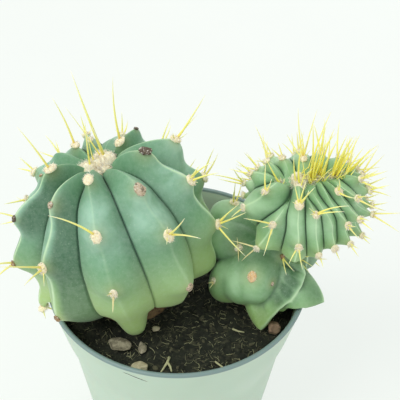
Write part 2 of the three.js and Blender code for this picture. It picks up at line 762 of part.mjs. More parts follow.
function makePot() {
  const lip = POT_WALL / 2;
  const lipMiddle = POT_RIM_RADIUS - lip;
  const outline = [[0, 0], [POT_BASE_RADIUS - POT_EDGE, 0], [POT_BASE_RADIUS, POT_EDGE]];
  WALL_HEIGHTS.forEach((height) => outline.push([outerRadius(height), height]));
  for (let step = 0; step <= 4; step += 1) {
    const angle = (Math.PI * step) / 4;
    outline.push([lipMiddle + lip * Math.cos(angle), POT_HEIGHT - lip + lip * Math.sin(angle)]);
  }
  [...WALL_HEIGHTS].reverse().forEach((height) => outline.push([outerRadius(height) - POT_WALL, height]));
  outline.push([outerRadius(POT_FLOOR) - POT_WALL, POT_FLOOR], [0, POT_FLOOR]);
  let pot = turned(outline, POT_SIDES);
  for (let hole = 0; hole < DRAIN_HOLES; hole += 1) {
    const angle = (2 * Math.PI * hole) / DRAIN_HOLES;
    const [x, y] = [DRAIN_CIRCLE * Math.cos(angle), DRAIN_CIRCLE * Math.sin(angle)];
    pot = pot.subtract(cylinder(x, y, -1, POT_FLOOR + 2, DRAIN_RADIUS, DRAIN_RADIUS, 12));
  }
  return pot;
}

function makeSoil() {
  const inside = (height) => (outerRadius(height) - POT_WALL) * Math.cos(Math.PI / POT_SIDES) - GAP;
  const bottom = POT_FLOOR + GAP;
  const heights = [bottom, ...WALL_HEIGHTS];
  const outline = [[0, bottom]];
  heights.forEach((height) => outline.push([inside(height), height]));
  outline.push([inside(SOIL_TOP) - 0.8, SOIL_TOP], [0, SOIL_TOP]);
  return turned(outline, POT_SIDES).subtract(rootHole(BARREL_FOOT)).subtract(rootHole(BASE_FOOT));
}

// What a head that overhangs the pot must stay clear of
function rimClearance() {
  const low = SOIL_TOP - 4;
  const top = POT_HEIGHT + TOUCH_GAP;
  const inside = (height) => (outerRadius(height) - POT_WALL) * Math.cos(Math.PI / POT_SIDES) - TOUCH_GAP;
  const outside = (height) => outerRadius(height) + TOUCH_GAP;
  const [inner, outer] = [(height) => [inside(height), height], (height) => [outside(height), height]];
  const outline = [inner(low), outer(low), outer(top), inner(top), inner(low)];
  return turned(outline, POT_SIDES);
}

// A tip that the rim or the other head cuts off is dropped
function wholePiece(solid) {
  const pieces = solid.simplify(FACET).decompose();
  return pieces.reduce((best, piece) => (piece.volume() > best.volume() ? piece : best));
}

function makeBarrel(rim) {
  const wool = lump(crownFrame(BARREL, 0, BARREL_WOOL.lift), BARREL_WOOL.size, 12, 5);
  const body = ribbedBody(BARREL).add(footOf(BARREL_FOOT));
  const grown = wasm.Manifold.union([body, wool, ...padsAndSpines(BARREL), ...crownSpines(BARREL)]);
  return wholePiece(grown.subtract(rim).subtract(groundRound(BARREL_FOOT)));
}

function makeCrested(rim) {
  const wool = lump(crownFrame(CAP, 0, CREST_WOOL.lift), CREST_WOOL.size, 12, 5);
  const body = wasm.Manifold.union([ribbedBody(CAP), lobedBody(BASE), footOf(BASE_FOOT)]);
  const small = [...basePadsAndSpines(BASE), ...padsAndSpines(CAP), ...crestTufts(CAP)];
  const grown = wasm.Manifold.union([body, wool, ...small]);
  const clear = grown.subtract(rim).subtract(groundRound(BASE_FOOT));
  return wholePiece(clear.subtract(ribbedBody(BARREL, TOUCH_GAP)));
}

// A chip or pebble lies on a small flat spot
function makeLoose(item) {
  const geometry = new THREE.IcosahedronGeometry(1, 1);
  geometry.scale(...item.half);
  geometry.rotateZ(THREE.MathUtils.degToRad(item.turn));
  const places = geometry.attributes.position;
  const flat = -0.6 * item.half[2];
  for (let i = 0; i < places.count; i += 1) {
    places.setZ(i, Math.max(places.getZ(i), flat));
  }
  geometry.translate(item.x, item.y, REST_HEIGHT - flat);
  return solidOf(geometry);
}

function makeMesh(name, solid, color, roughness) {
  const material = new THREE.MeshStandardMaterial({ color, roughness, metalness: 0 });
  const mesh = new THREE.Mesh(geometryOf(solid), material);
  mesh.name = name;
  return mesh;
}

for (const head of [BARREL, CAP]) {
  head.axes = headAxes(head);
}

const cactus = new THREE.Group();
const rim = rimClearance();
cactus.add(makeMesh('pot', makePot(), COLORS.pot, 0.55));
cactus.add(makeMesh('soil', makeSoil(), COLORS.soil, 1));
cactus.add(makeMesh('barrel_head', makeBarrel(rim), COLORS.barrel, 0.6));
cactus.add(makeMesh('crested_head', makeCrested(rim), COLORS.crest, 0.6));
for (const item of LOOSE) {
  cactus.add(makeMesh(item.name, makeLoose(item), item.color, 0.9));
}

export default cactus;
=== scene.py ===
"""Looks for the potted crested blue barrel cactus. Lengths are millimetres until a mesh is made."""

import math
import random

import bpy
import numpy as np
from mathutils import Matrix, Vector, noise
from mathutils.bvhtree import BVHTree


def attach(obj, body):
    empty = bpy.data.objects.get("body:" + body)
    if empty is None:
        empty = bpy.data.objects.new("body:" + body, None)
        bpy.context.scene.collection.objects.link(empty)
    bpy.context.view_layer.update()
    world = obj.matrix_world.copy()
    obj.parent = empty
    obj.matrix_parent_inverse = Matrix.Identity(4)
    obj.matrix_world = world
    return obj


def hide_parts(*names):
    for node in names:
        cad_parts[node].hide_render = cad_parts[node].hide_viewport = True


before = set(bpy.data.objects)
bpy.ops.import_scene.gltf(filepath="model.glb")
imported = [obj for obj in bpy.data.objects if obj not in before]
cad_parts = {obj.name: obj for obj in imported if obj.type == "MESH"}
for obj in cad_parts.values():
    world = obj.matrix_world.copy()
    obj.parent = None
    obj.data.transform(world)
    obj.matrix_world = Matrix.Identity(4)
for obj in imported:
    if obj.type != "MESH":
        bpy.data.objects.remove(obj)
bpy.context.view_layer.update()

MM = 0.001

# Camera, in the pot's frame
CAMERA_TILT = 41.7
CAMERA_ROLL = 1.5
CAMERA_PLACE = (8.3, -223.3, 331.7)
CAMERA_LENS = 72.0
CAMERA_SENSOR = 36.0

# Light, in metres and watts: each lamp's name, place, size, power and colour. Then the floor
SKY_COLOR = (0.97, 1.0, 0.98, 1)
SKY_STRENGTH = 0.78
LIT_PLACE = (0, 0, 0.11)
LIGHTS = [("key", (-0.42, -0.34, 0.84), 0.42, 3.6, (1.0, 0.99, 0.96)),
          ("back", (0.3, 0.7, 0.6), 0.6, 1.6, (1, 1, 1))]
FLOOR_HALF = 3000.0

# Pot
POT_HEIGHT = 95.0
POT_RIM_RADIUS = 52.5
POT_COLLAR_DEPTH = 20.0
POT_COLLAR_RADIUS = 48.5
POT_WAIST_DEPTH = 32.0
POT_WAIST_RADIUS = 45.3
POT_BASE_RADIUS = 37.5
POT_WALL = 1.9
POT_FLOOR = 2.5
POT_EDGE = 0.8
POT_SIDES = 160
DRAIN_HOLES = 6
DRAIN_RADIUS = 4.0
DRAIN_CIRCLE = 25.0
DRAIN_SIDES = 40
SHARP_ANGLE = 40.0

# Soil and the ground that the heads rest on
GAP = 0.3
SOIL_TOP = 84.7
SOIL_SINK = 0.6
SOIL_CLEAR = 0.15
SOIL_SIDES = 220
SOIL_RINGS = 78
SOIL_BOTTOM = POT_FLOOR + GAP
CRUMBS = 2040
FIBRES = 1300
HEAD_SEED = 11
GROUND_SEED = 5
REST_HEIGHT = SOIL_TOP + GAP
ROOT_DEPTH = 14.0
TOUCH_GAP = 0.45
FOOT_SIDES = 72
RIM_SWELL = (43.5, 48.5)
RIM_PAST = (53.2, 55.5)
RIM_DROOP = 9.0
FLOOR_SOFT = 0.8
PUSH_REACH = 12.0


def fan(count, length):
    """Spines spread evenly round a pad: each is (out of the rib, down the rib, across it)."""
    turns = [math.radians(90 + 360 * i / count) for i in range(count)]
    return [(length * 0.82, -length * 0.4 * math.sin(t), length * 0.42 * math.cos(t)) for t in turns]


def pad(down, spines=(), swell=1, kind="wool", size=1, wide=0.55, steep=2):
    return {"down": down, "spines": list(spines), "swell": swell, "kind": kind, "size": size,
            "wide": wide, "steep": steep}


def rib(turn, slant, rise, pads, low=None, high=None, route=None, groove=None, floor=None, edge=1.0,
        dark=(0.0, 0, 140)):
    """A rib: the direction it faces, its slant as it goes down, its height, and its pads.

    A route is the crest's own path, and a groove the path of the fold on its right, both as
    (down, direction) points. A floor is how high that fold lies, as a share of the ribs beside it.
    The edge is how strong the painted highlight along its crest is, and dark, as (strength, start, end) down
    the rib, how strong the shade painted on its right side is.
    """
    return {"turn": turn, "slant": slant, "rise": rise, "pads": pads, "low": low, "high": high,
            "route": route, "groove": groove, "floor": floor, "edge": edge, "dark": dark}


def ridge(points, round_off):
    """A fold of the base. Each point of its crest is (direction, down, reach, how fast its left side
    falls, how fast its right side does), the last two in millimetres a degree."""
    return {"points": points, "round": round_off}


def lobe(facing, down, reach, across, along, twist=0, back=0.55):
    """A swelling of the base: where its tip points, how far out it is, and its half widths."""
    return {"facing": facing, "down": down, "reach": reach, "across": across, "along": along,
            "twist": twist, "back": back}


def base_pad(facing, down, spines, kind="wool", size=1):
    return {"facing": facing, "down": down, "spines": list(spines), "kind": kind, "size": size}


# How far from the crown a skin's first row of points is, in degrees
TOP_DOWN = 2.0
# Between two ribs the skin folds in to a narrow slit, its half width as a share of the rib's
SLIT_DEPTH = 0.8
SLIT_WIDTH = 0.032

# Directions are in degrees: 0 faces the front, 90 faces +X. "down" is measured from the crown.
BARREL = {
    "centre": (-23.9, -1.7, 118.8), "lean": (-8.4, 1.4), "turn": 0,
    "wide": 26.8, "deep": 26.8, "top": 32.4, "low": 39.1, "line": 0,
    "dip": 3, "dip_spread": 16, "end": 150,
    "rib_height": 9.6, "rises": (4, 36), "falls": (112, 148), "arch": (1.1, 0.8), "floor": 0.55,
    "swell": 3.8, "swell_spread": (12, 7), "pad_size": (2.2, 1.7, 1.0), "spine_radius": 0.42,
    "rows": 150, "columns": 40, "painted_groove_width": 0.026,
    "ribs": [
        rib(-90, -20, 0.85, [pad(38, swell=0.9, kind="cork", size=0.5),
                             pad(62, [(7, 2, 5)], swell=0, size=0.6),
                             pad(85, fan(2, 12))], high=(4, 80), dark=(0.5, 34, 140)),
        rib(-57, -7, 1, [pad(27, [(20, 4, -2)]), pad(56, swell=1.3, kind="dark", size=0.6),
                         pad(84, fan(2, 11), swell=1.15, kind="cork"),
                         pad(107, swell=-0.6, kind="none", wide=0.9),
                         pad(120, fan(2, 7), swell=1.3)], dark=(1.0, 22, 62)),
        rib(-30, -3, 1, [pad(41, kind="bald"), pad(72, [(17, -9, -3), (10, 1, 1)]), pad(105, kind="cork")],
            floor=0.66, dark=(1.0, 30, 128)),
        rib(4, 6, 1, [pad(28), pad(54, [(11, -12, -11)]), pad(83, [(5, -4, -1), (6, 3, -1)], kind="pale"),
                      pad(130, swell=2.2, kind="none", wide=0.62, steep=3)], low=(100, 138), floor=0.76,
            edge=0.15),
        rib(42, 6, 1, [pad(40, kind="grey"), pad(65, [(14, -9, 1), (12, 2, 4)], size=1.15),
                       pad(98, kind="grey", size=0.8)], edge=0.25),
        rib(79, 7, 1, [pad(29, kind="dark", size=1.15), pad(55, [(12, -3, 1), (12, 1, -1), (7, -4, 1)]),
                       pad(87, [(12, -9, -2), (9, -9, 2), (11, 5, -11)]),
                       pad(117, swell=1.0, kind="none", wide=0.8)]),
        rib(108, 0, 0.85, [pad(44, [(20, 1.5, 0), (10, 5, 4)]), pad(51, swell=0.7, kind="none", wide=0.6),
                           pad(74, [(8, -9, 2), (9, -2, 7)]),
                           pad(104, kind="none")]),
        rib(137, 0, 0.5, [pad(20, [(22, 14, -1)], swell=0.3), pad(31, swell=1.3, kind="dark", size=0.5),
                          pad(58, fan(3, 13), swell=0.6), pad(90, fan(3, 12))],
            route=[(12, 128), (22, 129), (32, 137.5), (60, 137), (120, 137)]),
        rib(170, 0, 0.35, [pad(26, swell=0, kind="none"), pad(52, fan(2, 10)), pad(80, fan(3, 12)),
                           pad(110, fan(2, 9))]),
        rib(199, 0, 0.42, [pad(21, swell=0.8, size=0.7), pad(46, fan(2, 9)), pad(74, fan(3, 12)),
                           pad(104, fan(2, 9))]),
        rib(222, -4, 0.42, [pad(25, [(20, 2, 1)], swell=0.5), pad(62, fan(3, 12)), pad(95, fan(3, 11))]),
        rib(249, -4, 0.5, [pad(28, swell=0.6, kind="none"), pad(56, fan(2, 9)), pad(88, fan(3, 11))]),
    ],
}

BASE = {
    "centre": (36, 2, 103.5), "soft": 2.4, "end": 150, "rows": 170, "columns": 330,
    "pad_size": (2.0, 1.6, 0.8), "spine_radius": 0.32,
    "lobes": [
        lobe(0, 90, 13, 11, 14),
        lobe(-21, 96, 24, 9.5, 11.5),
        lobe(-40, 104, 25, 11, 11),
        lobe(-60, 114, 28, 9, 11, 0, 0.52),
        lobe(-97, 76, 26, 9.5, 9),
        lobe(-131, 74, 30, 10, 9),
        lobe(20, 118, 24, 8, 9),
        lobe(72, 84, 16.2, 6, 13),
        lobe(100, 90, 22, 7, 12),
        lobe(140, 92, 24, 7.5, 12),
        lobe(185, 90, 24, 8, 12),
        lobe(230, 92, 25, 8, 12),
    ],
    "ridges": [
        ridge([(52, 60, 14.5, 0.3, 0.5), (45, 70, 18.6, 0.34, 0.6), (43, 80, 20.2, 0.36, 0.7),
               (32, 87, 22.2, 0.4, 0.75), (21, 97, 23.2, 0.42, 0.7), (9, 106, 24.6, 0.5, 0.6),
               (1, 115, 27.1, 0.55, 0.5), (-6, 121, 30.8, 0.5, 0.45)], 2),
        ridge([(70, 74, 15.6, 0.5, 0.5), (64, 87, 16.2, 0.6, 0.6), (54, 96, 19.4, 0.8, 0.75),
               (47, 101, 29.4, 0.9, 0.9)], 3),
        ridge([(47, 102, 29.2, 0.85, 0.9), (40, 104, 28.4, 0.7, 0.6), (31, 105.5, 27.2, 0.45, 0.6),
               (23, 107, 26.0, 0.36, 0.6), (16, 109, 24.0, 0.4, 0.6)], 3),
    ],
    # Spots of painted shade on the base, each as (direction, down, spread, strength)
    "shades": [(30, 73, 9, 1.4), (24, 81, 10, 1.4), (17, 90, 10, 1.4), (9, 100, 9, 1.2), (-100, 66, 16, 0.5),
               (62, 84, 8, 0.9), (44, 96, 11, 0.8), (-9, 114, 9, 0.8)],
    "pads": [
        base_pad(-21, 72.5, (), "tan", 1.2),
        base_pad(2, 82, (), "bald", 0.7),
        base_pad(-59, 97, [(4, 1, 3), (4, 0, 1)], "pale", 0.8),
        base_pad(-64, 58, [(3, 3, 4), (4, -2, -4)], "pale", 0.9),
        base_pad(54, 64, [(5, 6, 1), (4, 7, -2), (6, 2, 3)]),
        base_pad(23, 52, [(4, 6, -1), (5, 5, 2)], "cork", 0.8),
        base_pad(-137, 57, [(9, -3, 4), (8, 2, -5), (10, 0, 1)]),
        base_pad(100, 80, fan(2, 9)),
        base_pad(140, 76, fan(3, 9)),
        base_pad(142, 104, fan(2, 7), "cork"),
        base_pad(185, 82, fan(3, 9)),
        base_pad(230, 84, fan(3, 9)),
        base_pad(100, 108, fan(2, 6), "cork", 0.8),
    ],
}

CAP = {
    "centre": (48.8, 3, 128), "lean": (-5, -14), "turn": 6,
    "wide": 17, "deep": 16, "top": 19.0, "low": 15.5, "line": 11.3,
    "dip": 1, "dip_spread": 12, "end": 140,
    "rib_height": 5.4, "rises": (4, 28), "falls": (92, 118), "arch": (1.8, 0.75), "floor": 0.74,
    "swell": 2.8, "swell_spread": (9, 6), "pad_size": (1.6, 1.3, 0.8), "spine_radius": 0.34,
    "rows": 120, "columns": 30, "painted_groove_width": 0.05,
    "ribs": [
        rib(-107, -8, 0.9, [pad(34, fan(2, 9)), pad(62, [(10, 0, 1), (13, -4, 2), (5, -8, -1)]),
                            pad(92, [(5, 2, 0)])], groove=[(20, -84), (60, -95), (100, -102)]),
        rib(-80, 0, 1.3, [pad(24, [(7, -4, 2), (9, -6, -3)]), pad(60, [(5, 2, 2)], 0.6)], low=(76, 108),
            route=[(22, -62), (40, -70), (55, -78), (75, -81), (100, -86)],
            groove=[(20, -31), (30, -33), (36, -38), (47, -48.5), (53, -53), (66, -61), (80, -68),
                    (110, -74)]),
        rib(-43, 0, 1.1, [pad(52, [(8, -1, -9), (6, 9, 4)], 1.2),
                          pad(90, [(4, 2, -9), (5, 9, -2)], 1.3, "pale", 1.1)], high=(30, 48),
            route=[(20, -31.5), (30, -32.5), (37, -35), (52, -41), (70, -47), (90, -52.5), (120, -56)],
            groove=[(20, -30.5), (33, -31.5), (42, -32.5), (60, -30), (72, -31.5), (90, -34), (120, -37)]),
        rib(-19, 0, 1.1, [pad(33, [(5, -9, 2), (6, -8, -2), (8, -6, 3), (7, -7, 5)], size=1.3),
                          pad(70, [(5, 6, 2), (4, 5, -3)]), pad(92, swell=0.8, kind="none")],
            low=(98, 126), route=[(20, -19), (33, -17.5), (50, -18.5), (70, -15), (87, -18), (110, -20)],
            groove=[(20, -10), (32, -10.5), (51, -10.5), (72, -9.3), (90, -8)]),
        rib(0, 0, 1, [pad(42, [(9, -2, 11), (7, 0, 9)]), pad(81, [(3, 4, 1)])], high=(20, 40),
            route=[(20, -8), (30, -7.5), (42, 1.5), (60, 0), (81, 1.7)],
            groove=[(20, -6), (30, -5), (41, 7), (54, 7.8), (74, 8.6), (90, 9)]),
        rib(16, 0, 1, [pad(56, swell=0.5, kind="none"), pad(77, [(3, 4, 1)])], high=(14, 36), low=(80, 106),
            route=[(20, 1), (32, 5), (49, 16), (64, 16.5), (83, 15)],
            groove=[(20, 10), (32, 12.7), (49, 24.2), (64, 23.5), (90, 22)]),
        rib(29, 0, 1.1, [pad(56, fan(2, 7), swell=1.25), pad(78, fan(2, 6))], low=(80, 106),
            route=[(20, 16), (32, 19), (49, 28), (59, 29), (80, 29.5)],
            groove=[(20, 22), (30, 25), (50, 35), (65, 36), (90, 37)]),
        rib(43, 0, 1.0, [pad(27, fan(2, 11), swell=1.2), pad(57, fan(2, 7), swell=1.35), pad(81, fan(2, 5))],
            low=(80, 106),
            route=[(20, 28), (27, 30.5), (38, 39), (61, 42.7), (90, 45.5)],
            groove=[(20, 34), (30, 40), (50, 49), (70, 53), (90, 55)]),
        rib(60, 0, 0.9, [pad(38, fan(2, 10), swell=1.4), pad(70, [(10, -2, 3), (11, 2, -3)], swell=1.35)],
            low=(84, 112),
            route=[(20, 42), (38, 49), (60, 58), (72, 63), (90, 66)]),
        rib(78, 0, 0.7, [pad(30, fan(3, 11), 0.6), pad(54, fan(2, 9), 1.1), pad(80, fan(2, 7), 1.2)],
            low=(84, 112)),
        rib(94, 0, 0.6, [pad(44, [(9, -4, 7), (10, -2, 4), (6, 1, -1)], 0.7), pad(70, fan(2, 9)),
                         pad(94, fan(2, 6))], low=(98, 130)),
        rib(112, 0, 0.45, [pad(32, [(8, -2, 6), (9, -1, 4)], 0.5), pad(60, fan(3, 10)), pad(88, fan(2, 8))]),
        rib(133, 0, 0.45, [pad(44, [(13, 0, 6)], 0.4), pad(76, fan(3, 11))]),
        rib(157, 0, 0.5, [pad(34, [(13, 0, 0), (11, 2, 4)], 0.4), pad(64, fan(3, 11)), pad(92, fan(2, 8))]),
        rib(183, 0, 0.55, [pad(22, [(14, 12, 0), (12, 12, -7), (8, 7, 0), (6, 3.5, -2), (4, 3, 3.5)], 0.4),
                           pad(52, fan(3, 9), 0.4), pad(80, fan(3, 10))]),
        rib(212, 0, 0.6, [pad(28, [(6, 0, 0), (5, 1, 3)], 0.5), pad(60, fan(2, 8)), pad(92, fan(2, 8))]),
        rib(234, 0, 0.75, [pad(30, [(13, 0, -4), (9, 0, -5), (6, 0, -5)], 0.7), pad(56, fan(3, 9), 0.6),
                           pad(84, fan(2, 9))]),
    ],
}

# Tufts on the crest's growing line: the share along it, how far back and up they sit, the wool's half
# sizes, how many short spines crowd round them, and the main ones as (right, back, up) in the cap's
# own directions
CREST_TUFTS = [
    (-0.95, 0, 0, (1.8, 1.8, 1.0), 2, [(-5, 4, 12)]),
    (-0.36, -1.8, 1.1, (3.1, 4.1, 2.9), 4, [(-1, 3, 13), (1, 4, 22)]),
    (0.1, 0, 0, (2.8, 3.4, 1.6), 15,
     [(0, 3, 13), (1, 4, 17), (4, 5, 22), (7, 7, 29), (3, 4, 19), (1, 6, 26), (2, 2, 15), (5, 4, 20)]),
    (0.42, 0, 0, (1.8, 2.0, 1.0), 8, [(3, 5, 19), (5, 5, 21), (6, 4, 17), (4, 3, 15)]),
    (0.8, 0, 0, (1.8, 2.0, 1.2), 8,
     [(6, 4, 17), (5, 4, 16), (7, 4, 18), (6, 3, 18), (5, 5, 17), (7, 5, 16), (8, 4, 19)]),
    (1.12, 0, 0, (1.9, 2.1, 1.5), 6, [(6, 3, 13), (3, 3, 11), (9, 3, 11), (12, 3, 14)]),
]
CREST_WOOL_LIFT = 17.3
BARREL_WOOL_LIFT = 29.5
# The barrel's crown: soft clumps as (right, back, up, radius), and spines as (foot, direction, thickness)
CROWN_CLUMPS = [(3.2, 1.6, 1.8, 3.5), (-3.4, -2.4, 0.8, 3.3), (-0.4, 0.4, 1.4, 2.9), (0.4, 4.0, 1.0, 2.9),
                (5.2, -1.6, -0.2, 2.2), (-5.6, 1.2, -0.2, 2.4), (0.2, -4.0, 0.2, 2.0), (2.8, -2.6, 0.5, 2.3)]
CROWN_SPINES = [((2.8, 1.0, 1.5), (-5, 3, 37), 1.35), ((2.4, 1.2, 1.5), (-2, 1, 15), 1.1),
                ((-2.7, -2.0, 1.0), (2, 2, 20), 0.9), ((1.5, 2.0, 1.5), (-9, 2, 23), 0.55),
                ((-1.2, 0.0, 1.5), (0, 0, 13), 0.7)]

BARREL_FOOT = {"x": -19, "y": -2.5, "radius": 18.5, "top": 13, "height": 11, "root": 10}
BASE_FOOT = {"x": 36, "y": 1, "radius": 14.5, "top": 12, "height": 8, "root": 9}

# How a loose piece's shape is cut: its unevenness, how many flat facets, and how far out they lie
BARK_CUT = {"rough": 0.16, "fine": 0.06, "facets": 16, "reach": 1}
PEBBLE_CUT = {"rough": 0.07, "fine": 0.02, "facets": 11, "reach": 1.08}


def loose(place, half, turn, slot="pebble", cut=PEBBLE_CUT):
    return {"place": place, "half": half, "turn": turn, "slot": slot, "cut": cut}


LOOSE = {
    "bark_chip_1": loose((-21.5, -31.5), (5.2, 3.1, 1.3), -8, "bark", BARK_CUT),
    "bark_chip_2": loose((-12.2, -33.0), (1.8, 2.9, 1.1), 12, "bark", BARK_CUT),
    "pebble_1": loose((-12.6, -42.3), (3.4, 2.5, 1.9), 5),
    "pebble_2": loose((-7.6, -23.5), (1.6, 1.4, 1.2), 30),
    "pebble_3": loose((38.6, -21.9), (2.7, 3.0, 2.5), -20, "clay_pebble"),
}
# Screen colours: each skin's own, its bloom, its shade and its underside, and each stone's two with
# the size of its patches
SKINS = [
    ("barrel_skin", (98, 150, 112), (158, 200, 178), (46, 92, 62), (178, 206, 124)),
    ("crest_skin", (120, 170, 114), (168, 208, 162), (54, 100, 60), (164, 192, 98)),
    ("cap_skin", (132, 178, 126), (176, 212, 170), (78, 126, 84), (168, 194, 108)),
]
STONES = {
    "bark": ((92, 86, 68), (176, 168, 144), 2.2),
    "pebble": ((164, 152, 122), (214, 204, 174), 2.6),
    "clay_pebble": ((104, 84, 66), (150, 124, 102), 2.6),
}


# Small helpers

def srgb(red, green, blue):
    """A colour as read off a screen, made linear."""
    parts = [c / 255 for c in (red, green, blue)]
    return tuple(c / 12.92 if c <= 0.04045 else ((c + 0.055) / 1.055) ** 2.4 for c in parts) + (1.0,)


def unit(vectors):
    return vectors / np.maximum(np.linalg.norm(vectors, axis=-1, keepdims=True), 1e-12)


def turned(angle, first, second):
    """The direction that lies that angle from the first towards the second."""
    return math.cos(angle) * first + math.sin(angle) * second


def spot_on(place, below, beside):
    """A spot on a skin: its place, and its directions out, down the skin and across it."""
    below = unit(below)
    out = unit(np.cross(below, unit(beside)))
    return place, out, below, unit(np.cross(out, below))


def scattered(draw, width):
    return np.array([draw.gauss(0, width) for _ in range(3)])


def smooth_step(start, stop, value):
    share = np.clip((np.asarray(value, float) - start) / (stop - start), 0, 1)
    return share * share * (3 - 2 * share)


def wobble(points, size, seed=0.0):
    """Smooth noise at each point, about -1 to 1, with features of that size in millimetres."""
    shifted = points / size + np.array([seed, 1.7 * seed, -2.3 * seed])
    flat = shifted.reshape(-1, 3)
    values = np.fromiter((noise.noise(Vector(p)) for p in flat), float, len(flat))
    return values.reshape(points.shape[:-1])


def ring(radius, height, sides, x=0.0, y=0.0):
    """Points round a level circle."""
    turns = np.arange(sides) * 2 * np.pi / sides
    level = np.full(sides, float(height))
    return np.stack([radius * np.cos(turns) + x, radius * np.sin(turns) + y, level], -1)


def ring_faces(rings, sides, down=True):
    """The faces between rings of points, whose outside shows when the rings run down, or up."""
    faces = []
    for first in range(0, (rings - 1) * sides, sides):
        for side in range(sides):
            here, beside = first + side, first + (side + 1) % sides
            face = (here, beside, beside + sides, here + sides)
            faces.append((here,) + face[:0:-1] if down else face)
    return faces


def tube_faces(rings, sides, down=True):
    """A closed tube's faces: its rings', and one face over each end."""
    first, last = range(sides), range((rings - 1) * sides, rings * sides)
    ends = [tuple(first), tuple(last[::-1])] if down else [tuple(first[::-1]), tuple(last)]
    return ends + ring_faces(rings, sides, down)


def closed_faces(rings, sides, down=True):
    """A closed form's faces: its rings', and fans round the two middle points that follow them."""
    first, last = rings * sides, (rings - 1) * sides
    faces = ring_faces(rings, sides, down)
    for side in range(sides):
        beside = (side + 1) % sides
        one, other = (side, beside) if down else (beside, side)
        faces += [(first, one, other), (first + 1, last + other, last + one)]
    return faces


def make_object(name, points, faces, material, attributes=None, smooth=True):
    """A mesh object from points in millimetres."""
    mesh = bpy.data.meshes.new(name)
    mesh.from_pydata((np.asarray(points, float) * MM).tolist(), [], [tuple(f) for f in faces])
    for key, values in (attributes or {}).items():
        layer = mesh.attributes.new(key, "FLOAT", "POINT")
        layer.data.foreach_set("value", np.asarray(values, np.float32))
    mesh.polygons.foreach_set("use_smooth", np.full(len(mesh.polygons), smooth))
    mesh.update()
    mesh.validate()
    made = bpy.data.objects.new(name, mesh)
    bpy.context.scene.collection.objects.link(made)
    made.data.materials.append(material)
    return made


def keep(piece, slot, *nodes):
    """The piece belongs to the object and stands for those nodes. The slot is not used."""
    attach(piece, "root")
    if nodes:
        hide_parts(*nodes)
    return piece


class Soup:
    """Many small closed shapes gathered into one mesh."""

    def __init__(self):
        self.points, self.faces, self.values = [], [], {}
        self.count = 0

    def add(self, points, faces, **values):
        points = np.asarray(points, float)
        self.points.append(points)
        self.faces.extend([tuple(i + self.count for i in f) for f in faces])
        for key, value in values.items():
            column = np.broadcast_to(np.asarray(value, float), (len(points),))
            self.values.setdefault(key, []).append(column)
        self.count += len(points)

    def build(self, name, material):
        values = {key: np.concatenate(parts) for key, parts in self.values.items()}
        return make_object(name, np.concatenate(self.points), self.faces, material, values)


# Materials

class Look:
    """A material in the making: layers of colour over each other, then roughness and relief.

    Colours are given as they read off a screen. A share is a number or another node's result.
    """

    def __init__(self, name, roughness, color=None, **sockets):
        self.material = bpy.data.materials.new(name)
        self.material.use_nodes = True
        self.tree = self.material.node_tree
        self.shader = self.tree.nodes["Principled BSDF"]
        self.color = color and srgb(*color)
        for key, value in {"Roughness": roughness, **sockets}.items():
            self.shader.inputs[key.replace("_", " ")].default_value = value

    def node(self, kind, values, **settings):
        made = self.tree.nodes.new(kind)
        for key, value in settings.items():
            setattr(made, key, value)
        for key, value in values.items():
            if isinstance(value, bpy.types.NodeSocket):
                self.tree.links.new(value, made.inputs[key])
            else:
                made.inputs[key].default_value = value
        return made

    def calculated(self, operation, first, second):
        return self.node("ShaderNodeMath", {0: first, 1: second}, operation=operation).outputs[0]

    def remapped(self, value, low, high, to_low=0.0, to_high=1.0):
        return self.node("ShaderNodeMapRange", {0: value, 1: low, 2: high, 3: to_low, 4: to_high}).outputs[0]

    def mark(self, name):
        """A number that the mesh carries on its points."""
        return self.node("ShaderNodeAttribute", {}, attribute_name=name).outputs["Fac"]

    def place(self):
        return self.node("ShaderNodeTexCoord", {}).outputs["Object"]

    def grain(self, size, detail=3.0, rough=0.55, distortion=0.0):
        """Noise in the object's own space, with features of that size in millimetres."""
        values = {"Vector": self.place(), "Scale": 1 / (size * MM), "Detail": detail, "Roughness": rough,
                  "Distortion": distortion}
        return self.node("ShaderNodeTexNoise", values).outputs["Fac"]

    def patches(self, low, high, *grain, to_low=0.0):
        """Noise made harder: nothing below the low value, all above the high one."""
        return self.remapped(self.grain(*grain), low, high, to_low)

    def mixed(self, share, first, second, blend="MIX"):
        values = {0: share, 6: first, 7: second}
        return self.node("ShaderNodeMix", values, data_type="RGBA", blend_type=blend).outputs[2]

    def layer(self, color, share, *others):
        """Lays a colour over what is there, as strongly as the product of its shares."""
        for other in others:
            share = self.calculated("MULTIPLY", share, other)
        self.color = self.mixed(share, self.color, srgb(*color))

    def ramp(self, value, stops):
        """The colour at a value between stops of (place, colour)."""
        made = self.node("ShaderNodeValToRGB", {0: value})
        elements = made.color_ramp.elements
        while len(elements) < len(stops):
            elements.new(0.5)
        for element, (place, color) in zip(elements, stops):
            element.position, element.color = place, srgb(*color)
        self.color = made.outputs[0]

    def rough(self, value):
        self.tree.links.new(value, self.shader.inputs["Roughness"])

    def finished(self, relief=None, strength=0.0, distance=0.2):
        self.tree.links.new(self.color, self.shader.inputs["Base Color"])
        if relief is not None:
            values = {"Height": relief, "Strength": strength, "Distance": distance * MM}
            self.tree.links.new(self.node("ShaderNodeBump", values).outputs[0], self.shader.inputs["Normal"])
        return self.material

    def two_grains(self, fine, coarse, weight):
        return self.calculated("ADD", fine, self.calculated("MULTIPLY", coarse, weight))


